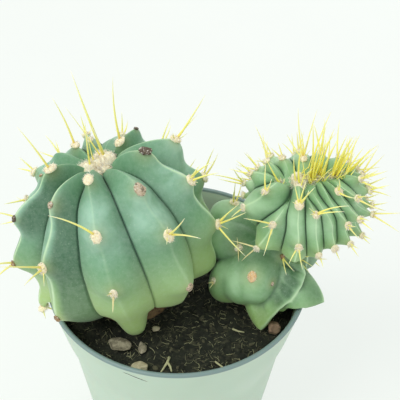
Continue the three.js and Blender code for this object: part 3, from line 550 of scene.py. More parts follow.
def skin_material(name, main, bloom, shade, low_tint):
    """Waxy skin: a pale bloom in patches, painted shade on the flanks and in the grooves, a painted highlight
    along the crests, and a yellow-green underside.
    """
    look = Look(name, 0.5, main, Subsurface_Weight=0.12, Subsurface_Scale=1.6 * MM,
                Subsurface_Radius=(0.6, 1.0, 0.5), Sheen_Weight=0.12, Sheen_Roughness=0.4)
    look.layer(bloom, look.patches(0.3, 0.62, 9, 3, 0.6, 0.3, to_low=0.25), look.mark("bloom"))
    # Painted shade
    look.layer(shade, look.mark("shade"), 0.85)
    look.layer(low_tint, look.mark("low"))
    look.layer((205, 222, 205), look.patches(0.3, 0.75, 1.6, 5, 0.7), 0.16)
    look.layer((190, 215, 190), look.patches(0.62, 0.72, 0.55, 2, 0.6), 0.22)
    # Painted highlight along the crests
    look.layer((204, 232, 190), look.mark("crest"), look.patches(0.3, 0.7, 5, 3, to_low=0.6))
    look.layer((170, 172, 112), look.mark("halo"), 0.4)
    # Painted shade along the grooves and creases
    look.layer((38, 66, 56), look.mark("groove"))
    look.layer((120, 92, 62), look.mark("cork"))
    fine = look.grain(0.45, 4, 0.6)
    look.rough(look.calculated("ADD", look.calculated("MULTIPLY", fine, 0.3), 0.34))
    return look.finished(look.two_grains(fine, look.grain(2.4, 4, 0.6), 2.0), 0.22, 0.12)


def spine_material():
    """Yellow spines, brown at the foot and pale towards the tip."""
    look = Look("spine", 0.4, Subsurface_Weight=0.35, Subsurface_Scale=0.8 * MM,
                Subsurface_Radius=(0.7, 0.65, 0.3))
    look.ramp(look.mark("along"), [(0.0, (190, 128, 66)), (0.06, (232, 198, 104)), (0.2, (249, 238, 120)),
                                   (0.7, (252, 248, 160)), (1.0, (253, 252, 214))])
    look.layer((252, 236, 62), look.mark("fresh"), 0.55)
    look.layer((222, 208, 166), look.mark("age"))
    return look.finished(look.grain(0.5, 3), 0.15, 0.05)


def pad_material():
    """Felt and cork: each pad carries its own tone, and the corky ones have dirt and pale flecks."""
    look = Look("pad", 0.9, Subsurface_Weight=0.25, Subsurface_Scale=0.8 * MM,
                Subsurface_Radius=(0.7, 0.6, 0.4))
    tone = look.mark("tone")
    look.ramp(tone, [(0.0, (62, 54, 46)), (0.25, (206, 192, 174)), (0.5, (176, 148, 116)),
                     (0.7, (240, 200, 150)), (0.85, (255, 246, 216)), (1.0, (255, 251, 232))])
    dark = look.mixed(1.0, look.color, srgb(232, 222, 200), "MULTIPLY")
    look.color = look.mixed(look.patches(0.35, 0.65, 0.7, 4, 0.7), dark, look.color)
    corky = look.remapped(tone, 0.5, 0.8, 1.0, 0.0)
    look.layer((84, 70, 58), look.patches(0.54, 0.6, 0.9, 3, 0.6), corky, 0.75)
    look.layer((232, 226, 212), look.patches(0.58, 0.64, 0.7, 3, 0.5), corky, 0.8)
    return look.finished(look.grain(0.5, 4, 0.7), 0.45, 0.25)


def wool_material():
    look = Look("wool", 0.95, (250, 238, 208), Sheen_Weight=0.3, Subsurface_Weight=0.4,
                Subsurface_Scale=0.8 * MM, Subsurface_Radius=(0.7, 0.65, 0.5))
    look.layer((255, 250, 234), look.patches(0.35, 0.65, 2.2, 3))
    look.layer((236, 210, 164), look.mark("foot"), 0.6)
    return look.finished()


def pot_material():
    """Pale sage plastic with a soft sheen and fine moulding grain. Shade is painted along its lip as a greyer
    band.
    """
    look = Look("pot_plastic", 0.42, (186, 207, 187), Subsurface_Weight=0.08, Subsurface_Scale=1.2 * MM)
    look.layer((195, 215, 196), look.patches(0.3, 0.7, 30, 2))
    look.layer((222, 230, 222), look.patches(0.66, 0.74, 0.8, 3, 0.7), 0.25)
    height = look.node("ShaderNodeSeparateXYZ", {0: look.place()}).outputs[2]
    # Painted shade: a greyer band along the top of the lip
    look.layer((124, 146, 144), look.remapped(height, (POT_HEIGHT - 1.5) * MM, (POT_HEIGHT - 0.9) * MM))
    fine = look.grain(0.6, 3, 0.6)
    look.rough(look.remapped(fine, 0.0, 1.0, 0.34, 0.52))
    return look.finished(look.two_grains(fine, look.grain(6, 2), 1.5), 0.12, 0.08)


def scratch_material():
    look = Look("scratch", 0.6, (44, 50, 46))
    # Tone 1 gives the painted highlight's pale colour
    look.layer((238, 244, 238), look.mark("tone"))
    return look.finished()


def soil_material():
    look = Look("soil", 0.95, (14, 17, 12))
    look.layer((46, 50, 38), look.patches(0.3, 0.7, 3.2, 5, 0.7, 0.4))
    look.layer((92, 94, 72), look.patches(0.58, 0.7, 1.1, 4, 0.7), 0.5)
    look.layer((122, 118, 92), look.mark("tone"))
    return look.finished(look.grain(0.6, 6, 0.75), 0.9, 0.6)


def fibre_material():
    look = Look("fibre", 0.8, (84, 82, 58))
    look.layer((206, 204, 160), look.mark("tone"))
    look.layer((66, 62, 44), look.grain(1.2, 3), 0.4)
    return look.finished(look.grain(0.4, 4), 0.5, 0.1)


def loose_material(name, dark, light, size):
    """Bark, cork or stone, with patches of that size in millimetres and dark pits."""
    look = Look(name, 0.85, dark)
    look.layer(light, look.patches(0.35, 0.65, size, 5, 0.7, 0.5))
    look.layer(dark, look.patches(0.6, 0.7, size / 4, 3, 0.6), 0.4)
    return look.finished(look.grain(size / 5, 5, 0.7), 0.6, 0.3)


def floor_material():
    look = Look("floor", 0.9, (146, 148, 146), Emission_Color=(0.96, 1.0, 0.965, 1), Emission_Strength=0.62)
    look.layer((149, 151, 149), look.grain(60, 2))
    return look.finished()


# The ribbed heads

def eased(route, down):
    """A path's direction at each place down it, with its corners rounded."""
    places, turns = zip(*route)
    return sum(np.interp(down + shift, places, turns) for shift in (-6, -3, 0, 3, 6)) / 5


class Head:
    """A ribbed head, by formula: a rounded core, ribs standing out of it, and a swelling under each pad."""

    def __init__(self, form):
        self.form = form
        lean = [math.tan(math.radians(a)) for a in form["lean"]]
        turn = math.radians(form["turn"])
        self.centre = np.array(form["centre"], float)
        self.up = unit(np.array([lean[0], lean[1], 1.0]))
        right = np.array([math.cos(turn), math.sin(turn), 0.0])
        self.right = unit(right - self.up * (right @ self.up))
        self.back = np.cross(self.up, self.right)
        self.ribs = form["ribs"]

    def core(self, facing, down):
        form = self.form
        turn, tilt = np.radians(facing), np.radians(down)
        wide = form["line"] + (form["wide"] - form["line"]) * np.sin(tilt)
        deep = form["deep"] * np.sin(tilt)
        tall = np.where(down < 90, form["top"], form["low"])
        dip = form["dip"] * np.exp(-((down / form["dip_spread"]) ** 2))
        return np.stack([wide * np.sin(turn), -deep * np.cos(turn), tall * np.cos(tilt) - dip], -1)

    def normal(self, facing, down):
        around = self.core(facing + 0.5, down) - self.core(facing - 0.5, down)
        below = self.core(facing, down + 0.5) - self.core(facing, np.maximum(down - 0.5, 0.01))
        return unit(np.cross(below, around))

    def rib(self, index):
        """A rib, and how far round the count has gone past the last one, in degrees."""
        return self.ribs[index % len(self.ribs)], 360 * (index // len(self.ribs))

    def crest(self, index, down):
        item, laps = self.rib(index)
        if item["route"]:
            return eased(item["route"], down) + laps
        return item["turn"] + item["slant"] * (down - 60) / 60 + laps

    def groove(self, index, down):
        """The direction of the fold between a rib and the next."""
        item, laps = self.rib(index)
        if item["groove"]:
            return eased(item["groove"], down) + laps
        return (self.crest(index, down) + self.crest(index + 1, down)) / 2

    def facing(self, index, across, down):
        own = self.crest(index, down)
        left = own - self.groove(index - 1, down)
        right = self.groove(index, down) - own
        return own + across * np.where(across < 0, left, right)

    def rise(self, index, down):
        item = self.rib(index)[0]
        rises, falls = item["high"] or self.form["rises"], item["low"] or self.form["falls"]
        fade = smooth_step(*rises, down) * (1 - smooth_step(*falls, down))
        return self.form["rib_height"] * item["rise"] * fade

    def floor(self, index):
        return self.rib(index)[0]["floor"] or self.form["floor"]

    def height(self, index, across, down):
        form = self.form
        crest = self.rise(index, down)
        point, round_off = form["arch"]
        side = np.abs(across)
        beside = np.where(across < 0, self.rise(index - 1, down), self.rise(index + 1, down))
        joined = crest + (beside - crest) / 2 * side ** 2
        floor = np.where(across < 0, self.floor(index - 1), self.floor(index))
        raised = floor * smooth_step(12, 44, down) * (1 - smooth_step(108, 140, down))
        arched = np.maximum(1 - side ** point, 0) ** round_off
        height = joined * raised + crest * (1 - raised) * arched
        slit = np.exp(-(((1 - side) / SLIT_WIDTH) ** 2))
        height = height - SLIT_DEPTH * np.minimum(joined / 3, 1) * slit
        for item in self.ribs[index]["pads"]:
            away = down - item["down"]
            away = away / np.where(away < 0, form["swell_spread"][0], form["swell_spread"][1])
            round_it = np.exp(-(away ** 2) - (side / item["wide"]) ** item["steep"])
            height = height + form["swell"] * item["swell"] * round_it
        return height

    def skin(self, index, across, down):
        across, down = np.broadcast_arrays(np.asarray(across, float), np.asarray(down, float))
        facing = self.facing(index, across, down)
        lift = self.height(index, across, down)
        point = self.core(facing, down) + self.normal(facing, down) * lift[..., None]
        return kept_up(self.centre + point @ np.stack([self.right, self.back, self.up]))

    def frame(self, index, down):
        """The place of a pad on a rib's crest, and its directions out, down the rib and across it."""
        below = self.skin(index, 0.0, down + 1.0) - self.skin(index, 0.0, down - 1.0)
        beside = self.skin(index, 0.04, down) - self.skin(index, -0.04, down)
        return spot_on(self.skin(index, 0.0, down), below, beside)


class Base:
    """The crested head's base: swellings that grow out of one middle and press into each other."""

    def __init__(self, form):
        self.form = form
        self.centre = np.array(form["centre"], float)
        self.lobes = [self.prepared(item) for item in form["lobes"]]

    @staticmethod
    def rays(facing, down):
        turn, tilt = np.radians(facing), np.radians(down)
        return np.stack(np.broadcast_arrays(np.sin(tilt) * np.sin(turn), -np.sin(tilt) * np.cos(turn),
                                            np.cos(tilt)), -1)

    def prepared(self, item):
        """The lobe's ellipsoid as the scaled axes that turn it into a ball, and its scaled middle."""
        out = self.rays(item["facing"], item["down"])
        turn, twist = math.radians(item["facing"]), math.radians(item["twist"])
        level = np.array([math.cos(turn), math.sin(turn), 0.0])
        below = np.cross(level, out)
        side, lower = turned(twist, level, below), turned(twist, below, -level)
        half = item["reach"] * item["back"]
        axes = np.stack([out / half, side / item["across"], lower / item["along"]])
        return axes, axes @ (out * (item["reach"] - half))

    def reach(self, rays):
        """How far out the skin is along each ray, with soft creases between the lobes."""
        found = []
        for axes, middle in self.lobes:
            scaled = rays @ axes.T
            square = (scaled * scaled).sum(-1)
            half = scaled @ middle
            inside = half * half - square * (middle @ middle - 1)
            found.append(np.where(inside > 0, (half + np.sqrt(np.maximum(inside, 0))) / square, -50))
        found += [self.folded(rays, item)[0] for item in self.form["ridges"]]
        found = np.stack(found)
        most = found.max(0)
        soft = self.form["soft"]
        return most + np.log(np.exp(soft * (found - most)).sum(0)) / soft

    def folded(self, rays, item):
        """How far out a ridge's skin is, which falls evenly to both sides of its crest, and how far off
        the crest is, in degrees."""
        points = np.array(item["points"], float)
        knots = self.rays(points[:, 0], points[:, 1])
        nearest = np.full(rays.shape[:-1], 999.0)
        best = np.full(rays.shape[:-1], -50.0)
        for number in range(len(points) - 1):
            first, along = knots[number], knots[number + 1] - knots[number]
            share = np.clip((rays - first) @ along / (along @ along), 0, 1)
            spot = unit(first + share[..., None] * along)
            apart = np.degrees(np.arccos(np.clip((rays * spot).sum(-1), -1, 1)))
            values = points[number] + share[..., None] * (points[number + 1] - points[number])
            turned_left = (rays * np.cross(first, along)).sum(-1) < 0
            slope = np.where(turned_left, values[..., 3], values[..., 4])
            fall = slope * (np.hypot(apart, item["round"]) - item["round"])
            best = np.where(apart < nearest, values[..., 2] - fall, best)
            nearest = np.minimum(apart, nearest)
        return best, nearest

    def skin(self, facing, down):
        rays = self.rays(facing, down)
        return kept_up(self.centre + rays * self.reach(rays)[..., None])

    def frame(self, facing, down):
        below = self.skin(facing, down + 1.5) - self.skin(facing, down - 1.5)
        beside = self.skin(facing + 1.5, down) - self.skin(facing - 1.5, down)
        return spot_on(self.skin(facing, down), below, beside)


def kept_up(points):
    """Only a head's root is below the soil's surface. What overhangs the pot swells over its rim."""
    reach = np.hypot(points[..., 0], points[..., 1])
    rim_top = POT_HEIGHT + TOUCH_GAP
    floor = REST_HEIGHT + (rim_top - REST_HEIGHT) * smooth_step(*RIM_SWELL, reach)
    floor = floor - RIM_DROOP * smooth_step(*RIM_PAST, reach)
    raised = points.copy()
    raised[..., 2] = floor + FLOOR_SOFT * np.logaddexp(0, (points[..., 2] - floor) / FLOOR_SOFT)
    return raised


def spread(value, width):
    """Falls softly from 1 at zero to nothing past the width."""
    return np.exp(-((value / width) ** 2))


def ribbed_skin(name, head, material, seed):
    """The closed skin of a head, with what its material needs written on its points."""
    form = head.form
    even = np.linspace(-1, 1, form["columns"], endpoint=False)
    crowded = even - 0.5 * np.sin(2 * np.pi * even) / (2 * np.pi)
    across, down = np.meshgrid(crowded, np.linspace(TOP_DOWN, form["end"], form["rows"]))
    side = np.abs(across)
    # The groove mark: a dark line of painted shade along the crease between two ribs
    narrow = form["painted_groove_width"] / np.maximum(np.sin(np.radians(down)), 0.3)
    slit = 0.85 * np.exp(-((1 - side) / narrow) ** 1.6) * (1 - 0.75 * smooth_step(72, 112, down))
    # Waxy bloom in a band round the upper middle; its thinning towards the grooves is painted shade
    bloom = smooth_step(28, 46, down) * (1 - smooth_step(54, 76, down)) * (1 - 0.5 * side)
    grids, marks = [], {"groove": [], "crest": [], "low": [], "shade": [], "bloom": []}
    for index, item in enumerate(head.ribs):
        grids.append(head.skin(index, across, down))
        rise = np.minimum(head.rise(index, down) / form["rib_height"], 1)
        # Painted shade on the right flank of ribs with a dark value, down their given stretch
        strength, start, stop = item["dark"]
        dark = smooth_step(start - 8, start + 14, down) * (1 - smooth_step(stop - 6, stop + 12, down))
        dark = strength * dark * smooth_step(0.03, 0.3, across)
        # Painted shade on the flanks towards each groove, stronger on the right-hand flanks
        shade = 0.7 * smooth_step(0.4, 1.0, side) * rise * np.where(across > 0, 1.0, 0.4)
        marks["groove"].append(slit * np.minimum(rise * 2, 1))
        # Painted highlight along each crest, scaled by the rib's edge
        marks["crest"].append(spread(side, 0.05) * rise * item["edge"])
        marks["low"].append(0.85 * smooth_step(64, 118, down) * (1 - 0.75 * dark))
        marks["shade"].append(np.maximum(shade, dark))
        marks["bloom"].append(bloom)
    points = np.concatenate(grids, 1)
    values = {key: np.concatenate(parts, 1) for key, parts in marks.items()}
    corky = 0.9 * smooth_step(form["end"] - 16, form["end"] - 2, down)
    values["cork"] = np.tile(corky, len(head.ribs))
    spots = [(head.frame(index, one["down"])[0], one)
             for index, item in enumerate(head.ribs) for one in item["pads"]]
    return closed_skin(name, head, points, values, spots, material, seed)


def base_skin(name, base, material, seed):
    """The base's closed skin. Its creases and deep parts carry painted shade, its ridges' crests a painted
    highlight, and its swellings' tips are greener.
    """
    form = base.form
    facing, down = np.meshgrid(np.linspace(0, 360, form["columns"], endpoint=False),
                               np.linspace(TOP_DOWN, form["end"], form["rows"]))
    points, rays = base.skin(facing, down), base.rays(facing, down)
    apart = np.linalg.norm(points - base.centre, axis=-1)
    nearest = np.min([base.folded(rays, item)[1] for item in form["ridges"][:2]], axis=0)
    # Painted shade in the base's deep parts and under the shade spots
    shade = 0.8 * smooth_step(24, 17, apart)
    for spot_facing, spot_down, width, strength in form["shades"]:
        away = np.degrees(np.arccos(np.clip(rays @ base.rays(spot_facing, spot_down), -1, 1)))
        shade = np.maximum(shade, strength * spread(away, width))
    # The groove mark is painted shade in the creases, the crest mark a painted highlight on the ridges
    values = {"groove": creases(apart), "crest": spread(nearest, 1.2), "cork": 0 * apart,
              "low": 0.8 * smooth_step(92, 132, down) * smooth_step(16, 24, apart),
              "shade": np.minimum(shade, 1.15) * (1 - spread(nearest, 2)),
              "bloom": smooth_step(30, 60, down) * (1 - smooth_step(84, 110, down))}
    spots = [(base.frame(one["facing"], one["down"])[0], one) for one in form["pads"]]
    return closed_skin(name, base, points, values, spots, material, seed)


def creases(apart):
    """Where the skin lies deeper than it does round about."""
    around = sum(np.roll(apart, shift, 1) for shift in (-6, -3, 3, 6)) / 4
    padded = np.pad(apart, ((6, 6), (0, 0)), "edge")
    above = (padded[:-12] + padded[3:-9] + padded[9:-3] + padded[12:]) / 4
    deeper = np.maximum(around - apart, 0) + np.maximum(above - apart, 0)
    return 0.45 * np.clip(deeper / 1.5, 0, 1) ** 2


def closed_skin(name, head, points, values, spots, material, seed):
    """Closes a grid of points, whose columns run round, with the small unevenness of a grown skin."""
    rough = wobble(points, 11, seed) * 0.5 + wobble(points, 4.5, seed + 3) * 0.15
    points = kept_up(points + unit(points - head.centre) * rough[..., None])
    values["halo"] = np.zeros(points.shape[:-1])
    for at, one in spots:
        if one["kind"] != "none":
            away = np.linalg.norm(points - at, axis=-1)
            halo = spread(away, 1.6 * head.form["pad_size"][0] * one["size"])
            values["halo"] = np.maximum(values["halo"], halo)
    flat = np.concatenate([points.reshape(-1, 3), points[:1].mean(1), points[-1:].mean(1)])
    values = {key: np.append(part.ravel(), [part[0].mean(), part[-1].mean()]) for key, part in values.items()}
    return make_object(name, flat, closed_faces(*points.shape[:2]), material, values)


def ray_tree(piece):
    return BVHTree.FromObject(piece, bpy.context.evaluated_depsgraph_get())


def pushed_clear(piece, other, gap):
    """Moves the piece's points out of the other's skin, as growth that presses against it."""
    tree = ray_tree(other)
    for vertex in piece.data.vertices:
        at, normal, *_ = tree.find_nearest(vertex.co, PUSH_REACH * MM)
        if at is not None and (vertex.co - at).dot(normal) < gap * MM:
            vertex.co = at + normal * gap * MM
    piece.data.update()


# Pads, wool and spines

# Each kind of pad: its tone, its size, and how rough it is. Woolly kinds are smooth under their hairs.
PAD_KINDS = {"wool": (0.9, 1.02, 0.12), "tan": (0.72, 0.95, 0.12), "pale": (0.97, 0.85, 0.12),
             "cork": (0.5, 0.75, 0.3), "dark": (0.04, 0.95, 0.3), "grey": (0.27, 1.1, 0.3),
             "bald": (0.22, 0.6, 0.3)}
WOOLLY = ("wool", "tan", "pale")
# How many hairs and how long, then a hair's radii and its foot's tone from the skin to its tip
PAD_HAIRS, CROWN_HAIRS, TUFT_HAIRS = (90, 0.7), (190, 1.3), (260, 1.2)
HAIR_RADII = [0.09, 0.08, 0.06, 0.03]
HAIR_FOOT = [0.7, 0.3, 0.0, 0.0]
TUFT_LUMPS = 7


def ball(sides, rings):
    """The points and faces of a ball of radius one."""
    tilts = [math.pi * number / rings for number in range(1, rings)]
    points = [ring(math.sin(tilt), math.cos(tilt), sides) for tilt in tilts]
    return np.concatenate(points + [[(0, 0, 1), (0, 0, -1)]]), closed_faces(rings - 1, sides)


BALL, SMALL_BALL, STONE_BALL = ball(18, 12), ball(8, 6), ball(36, 24)


def add_lump(soup, spot, size, roughness, seed, shape=BALL, **values):
    """A crusty or felty lump, flattened onto the skin."""
    at, out, below, side = spot
    points, faces = shape
    coarse, fine = wobble(points * 3, 1.0, seed), wobble(points * 8, 1.0, seed + 5)
    rough = 1 + roughness * coarse + 0.5 * roughness * fine
    local = points * rough[:, None] * np.array(size)
    soup.add(at + local @ np.stack([below, side, out]), faces, **values)


def add_strand(soup, path, radii, sides, **values):
    """A tapered closed tube along a path of points."""
    path = np.asarray(path, float)
    ahead = unit(np.gradient(path, axis=0))
    guide = np.array([0.3, 0.2, 0.93]) if abs(ahead[0][2]) < 0.8 else np.array([0.9, 0.3, 0.1])
    first = unit(np.cross(ahead, guide))
    second = np.cross(ahead, first)
    turns = (np.arange(sides) * 2 * np.pi / sides)[None, :, None]
    round_it = np.cos(turns) * first[:, None, :] + np.sin(turns) * second[:, None, :]
    rings = path[:, None, :] + np.asarray(radii)[:, None, None] * round_it
    marks = {key: np.repeat(value, sides) if np.ndim(value) else value for key, value in values.items()}
    soup.add(rings.reshape(-1, 3), tube_faces(len(path), sides, down=False), **marks)


def add_spine(soup, root, tip, radius, draw, age=0.0, bow=0.06, fresh=0.0):
    """One tapered spine from under the skin to its tip, bowed a little."""
    along = tip - root
    share = np.linspace(0, 1, 9)
    sideways = unit(np.cross(along, [draw.uniform(-1, 1), draw.uniform(-1, 1), draw.uniform(-0.3, 1)]))
    lean = bow * np.linalg.norm(along) * draw.uniform(0.4, 1.0)
    start = root - 1.2 * unit(along)
    path = start + share[:, None] * (tip - start) + (4 * lean * share * (1 - share))[:, None] * sideways
    add_strand(soup, path, radius * (1 - share) ** 0.7 + 0.05, 7, along=share, age=age, fresh=fresh)


def add_wool(soup, spot, size, hairs, draw, lean=0.6):
    """Short curved hairs standing out of a pad."""
    at, out, below, side = spot
    count, length = hairs
    share = np.linspace(0, 1, 4)[:, None]
    for _ in range(count):
        turn = draw.uniform(0, 2 * math.pi)
        reach = math.sqrt(draw.random())
        flat = math.cos(turn) * below * size[0] + math.sin(turn) * side * size[1]
        root = at + reach * flat + out * size[2] * math.sqrt(max(0.0, 1 - reach ** 2)) * 0.8
        aim = unit(out + lean * reach * unit(flat) + scattered(draw, 0.35))
        bend = scattered(draw, 0.45)
        tall = length * draw.uniform(0.5, 1.2)
        path = root + aim * tall * share + bend * tall * share ** 2 * 0.6
        add_strand(soup, path, HAIR_RADII, 3, foot=HAIR_FOOT)


def dress_pad(form, spot, one, soups, draw):
    """A pad with its wool, its main spines, and a few short ones round their feet."""
    kind, spines = one["kind"], one["spines"]
    if kind == "none":
        return
    tone, scale, rough = PAD_KINDS[kind]
    scale = scale * one["size"] * draw.uniform(0.92, 1.08)
    size = [s * scale for s in form["pad_size"]]
    add_lump(soups["pads"], spot, size, rough, draw.uniform(0, 50), tone=tone)
    if kind in WOOLLY:
        add_wool(soups["wool"], spot, size, PAD_HAIRS, draw)
    at, out, below, side = spot
    radius = form["spine_radius"]
    age = 0.75 if kind == "pale" else draw.uniform(0, 0.25)
    for reach_out, down, across in spines:
        flat = below * down + side * across
        root = at + 0.4 * flat / max(1.0, math.hypot(down, across))
        add_spine(soups["spines"], root, at + out * reach_out + flat, radius, draw, age)
    if kind == "wool" and len(spines) > 1:
        longest = max(math.hypot(*spine) for spine in spines)
        for _ in range(2):
            turn = draw.uniform(0, 2 * math.pi)
            length = longest * draw.uniform(0.2, 0.4)
            aim = unit(out * 0.75 + math.cos(turn) * below + math.sin(turn) * side)
            root = at + 0.8 * (aim - out * 0.5)
            add_spine(soups["spines"], root, at + aim * length, radius * 0.55, draw, age)


def crown_spot(head, right, back, up):
    """A place over a head's middle, with the directions of a pad that faces up there."""
    at = head.centre + head.right * right + head.back * back + head.up * up
    return at, head.up, head.right, head.back


def dress_barrel_crown(head, soups, draw):
    """Felt fills the sunken crown in soft clumps, and long spines stand out of it."""
    flat_spot = crown_spot(head, 0, 0, BARREL_WOOL_LIFT - 1)
    add_lump(soups["pads"], flat_spot, (7.4, 6.0, 2.6), 0.1, 3.0, tone=1.0)
    for right, back, up, radius in CROWN_CLUMPS:
        spot = crown_spot(head, right, back, BARREL_WOOL_LIFT + up)
        size = (radius, 0.9 * radius, 0.85 * radius)
        add_lump(soups["pads"], spot, size, 0.16, draw.uniform(0, 50), tone=1.0)
        add_wool(soups["wool"], spot, size, CROWN_HAIRS, draw, 0.7)
    axes = np.stack([head.right, head.back, head.up])
    for (right, back, up), aim, thick in CROWN_SPINES:
        root = crown_spot(head, right, back, BARREL_WOOL_LIFT + up)[0]
        radius = head.form["spine_radius"] * thick
        add_spine(soups["spines"], root, root + aim @ axes, radius, draw, 0.0, 0.03)


def dress_crest_line(head, soups, draw):
    """Tufts of wool along the crest's growing line, each with its long main spines and short ones."""
    radius = head.form["spine_radius"]
    for share, behind, lift, wool, few, spines in CREST_TUFTS:
        spot = crown_spot(head, share * head.form["line"], behind, CREST_WOOL_LIFT + lift)
        at, out, below, side = spot
        wide, deep, tall = wool
        for _ in range(TUFT_LUMPS):
            turn, reach = draw.uniform(0, 2 * math.pi), 0.6 * draw.random()
            place = at + below * wide * reach * math.cos(turn) + side * deep * reach * math.sin(turn)
            size = [s * draw.uniform(0.5, 0.7) for s in (wide, deep, tall * 1.3)]
            add_lump(soups["pads"], (place, out, below, side), size, 0.15, draw.uniform(0, 50), tone=1.0)
        add_wool(soups["wool"], spot, wool, TUFT_HAIRS, draw, 0.5)
        for along, back, up in spines:
            foot = at + draw.uniform(-0.4, 0.4) * wide * below + draw.uniform(-0.5, 0.5) * deep * side
            tip = foot + below * along + side * back + out * up
            thick, fresh = radius * draw.uniform(1.0, 1.45), draw.uniform(0.3, 1)
            add_spine(soups["spines"], foot, tip, thick, draw, fresh=fresh)
        for _ in range(few):
            aim = unit(out + draw.gauss(0.3, 0.35) * below + draw.gauss(0.0, 0.4) * side)
            foot = at + draw.uniform(-0.9, 0.9) * wide * below + draw.uniform(-1.0, 1.0) * deep * side
            tip = foot + aim * draw.uniform(4, 10)
            thick, fresh = radius * draw.uniform(0.7, 1.1), draw.uniform(0.2, 0.9)
            add_spine(soups["spines"], foot, tip, thick, draw, fresh=fresh)


def make_foot(name, foot, material):
    """The corky foot on the soil and the root below it, as one turned solid."""
    high, wide, root = foot["height"], foot["radius"], foot["root"]
    rows = [(foot["top"], high), (wide * 0.9, 0.45 * high), (wide, 1.5), (wide * 0.97, 0),
            (root, 0), (root, SOIL_TOP - ROOT_DEPTH - REST_HEIGHT)]
    rings = [ring(reach, REST_HEIGHT + up, FOOT_SIDES, foot["x"], foot["y"]) for reach, up in rows]
    rings = np.array(rings)
    ripple = 0.7 * wobble(rings, 3.0, 8.0) + 0.5 * wobble(rings, 1.2, 4.0)
    outward = unit((rings - np.array([foot["x"], foot["y"], 0])) * np.array([1, 1, 0]))
    fade = np.array([0, 1, 1, 0.4, 0, 0])[:, None]
    rings = rings + outward * (ripple * fade)[..., None]
    return make_object(name, rings.reshape(-1, 3), tube_faces(len(rows), FOOT_SIDES), material)


# Pot and soil

def outer_radius(height):
    """The pot's radius at a height: its wall, its waist with a soft step, and its collar."""
    waist, collar = POT_HEIGHT - POT_WAIST_DEPTH, POT_HEIGHT - POT_COLLAR_DEPTH
    heights = [0, waist, collar, POT_HEIGHT]
    radii = [POT_BASE_RADIUS, POT_WAIST_RADIUS, POT_COLLAR_RADIUS, POT_RIM_RADIUS]
    bulge = 0.3 * (smooth_step(waist - 8, collar + 8, height) - 0.5)
    return np.interp(height, heights, radii) + np.where((height >= waist) & (height < collar), bulge, 0)


def soft_radius(height):
    """The outer radius with its corners eased, as a moulding has."""
    return float(np.mean(outer_radius(np.clip(height + np.linspace(-3, 3, 13), 0, POT_HEIGHT))))


def inner_reach(height):
    return soft_radius(height) - POT_WALL - SOIL_CLEAR


def cut_holes(piece):
    """Drain holes through the pot's floor."""
    pegs = Soup()
    for hole in range(DRAIN_HOLES):
        turn = 2 * math.pi * hole / DRAIN_HOLES
        x, y = DRAIN_CIRCLE * math.cos(turn), DRAIN_CIRCLE * math.sin(turn)
        add_strand(pegs, [(x, y, -1), (x, y, POT_FLOOR + 1)], [DRAIN_RADIUS] * 2, DRAIN_SIDES)
    cutter = pegs.build("drain_cutter", piece.data.materials[0])
    cut = piece.modifiers.new("drain", "BOOLEAN")
    cut.operation, cut.solver, cut.object = "DIFFERENCE", "EXACT", cutter
    finished = bpy.data.meshes.new_from_object(piece.evaluated_get(bpy.context.evaluated_depsgraph_get()))
    piece.modifiers.clear()
    piece.data = finished
    bpy.data.objects.remove(cutter)


def make_pot(material):
    """The pot, turned from its outline of radius and height, from the middle below to that inside."""
    lip = POT_WALL / 2
    middle = POT_RIM_RADIUS - lip
    walls = [*np.linspace(POT_EDGE + 2, 58, 12), *np.linspace(60, 80, 16), *np.linspace(82, 93, 6)]
    outline = [(10, 0), (20, 0), (30, 0), (POT_BASE_RADIUS - POT_EDGE, 0)]
    for turn in np.linspace(0, math.pi / 2, 4)[1:]:
        outline.append((POT_BASE_RADIUS - POT_EDGE * (1 - math.sin(turn)), POT_EDGE * (1 - math.cos(turn))))
    outline += [(soft_radius(h), h) for h in walls]
    for turn in np.linspace(0, math.pi, 11):
        outline.append((middle + lip * math.cos(turn), POT_HEIGHT - lip + lip * math.sin(turn)))
    outline += [(soft_radius(h) - POT_WALL, h) for h in reversed(walls)]
    outline += [(outer_radius(POT_FLOOR) - POT_WALL, POT_FLOOR), (20, POT_FLOOR)]
    points = [ring(reach, height, POT_SIDES) for reach, height in outline] + [[(0, 0, 0), (0, 0, POT_FLOOR)]]
    faces = closed_faces(len(outline), POT_SIDES, down=False)
    pot = make_object("pot_body", np.concatenate(points), faces, material)
    cut_holes(pot)
    for polygon in pot.data.polygons:
        polygon.use_smooth = True
    pot.data.set_sharp_from_angle(angle=math.radians(SHARP_ANGLE))
    return pot


# Each scratch: its first turn and height, its last turn and height, its half width and its tone. The pale one
# is a painted highlight along the dark one's edge
SCRATCHES = [(-110.2, 91.4, -100.2, 88.6, 0.13, 0.0), (-109.4, 90.6, -102.8, 88.9, 0.09, 1.0)]


def make_scratches(material):
    """A short scuff in the collar, as thin as a hair, with a painted highlight along its edge."""
    soup = Soup()
    for first, high, last, low, thick, tone in SCRATCHES:
        path = []
        for share in np.linspace(0, 1, 14):
            turn, z = math.radians(first + (last - first) * share), high + (low - high) * share ** 1.2
            reach = soft_radius(z) + 0.02
            path.append((reach * math.cos(turn), reach * math.sin(turn), z))
        add_strand(soup, path, thick * np.sin(np.linspace(0.25, 2.9, 14)), 6, tone=tone)
    return soup.build("pot_scratches", material)


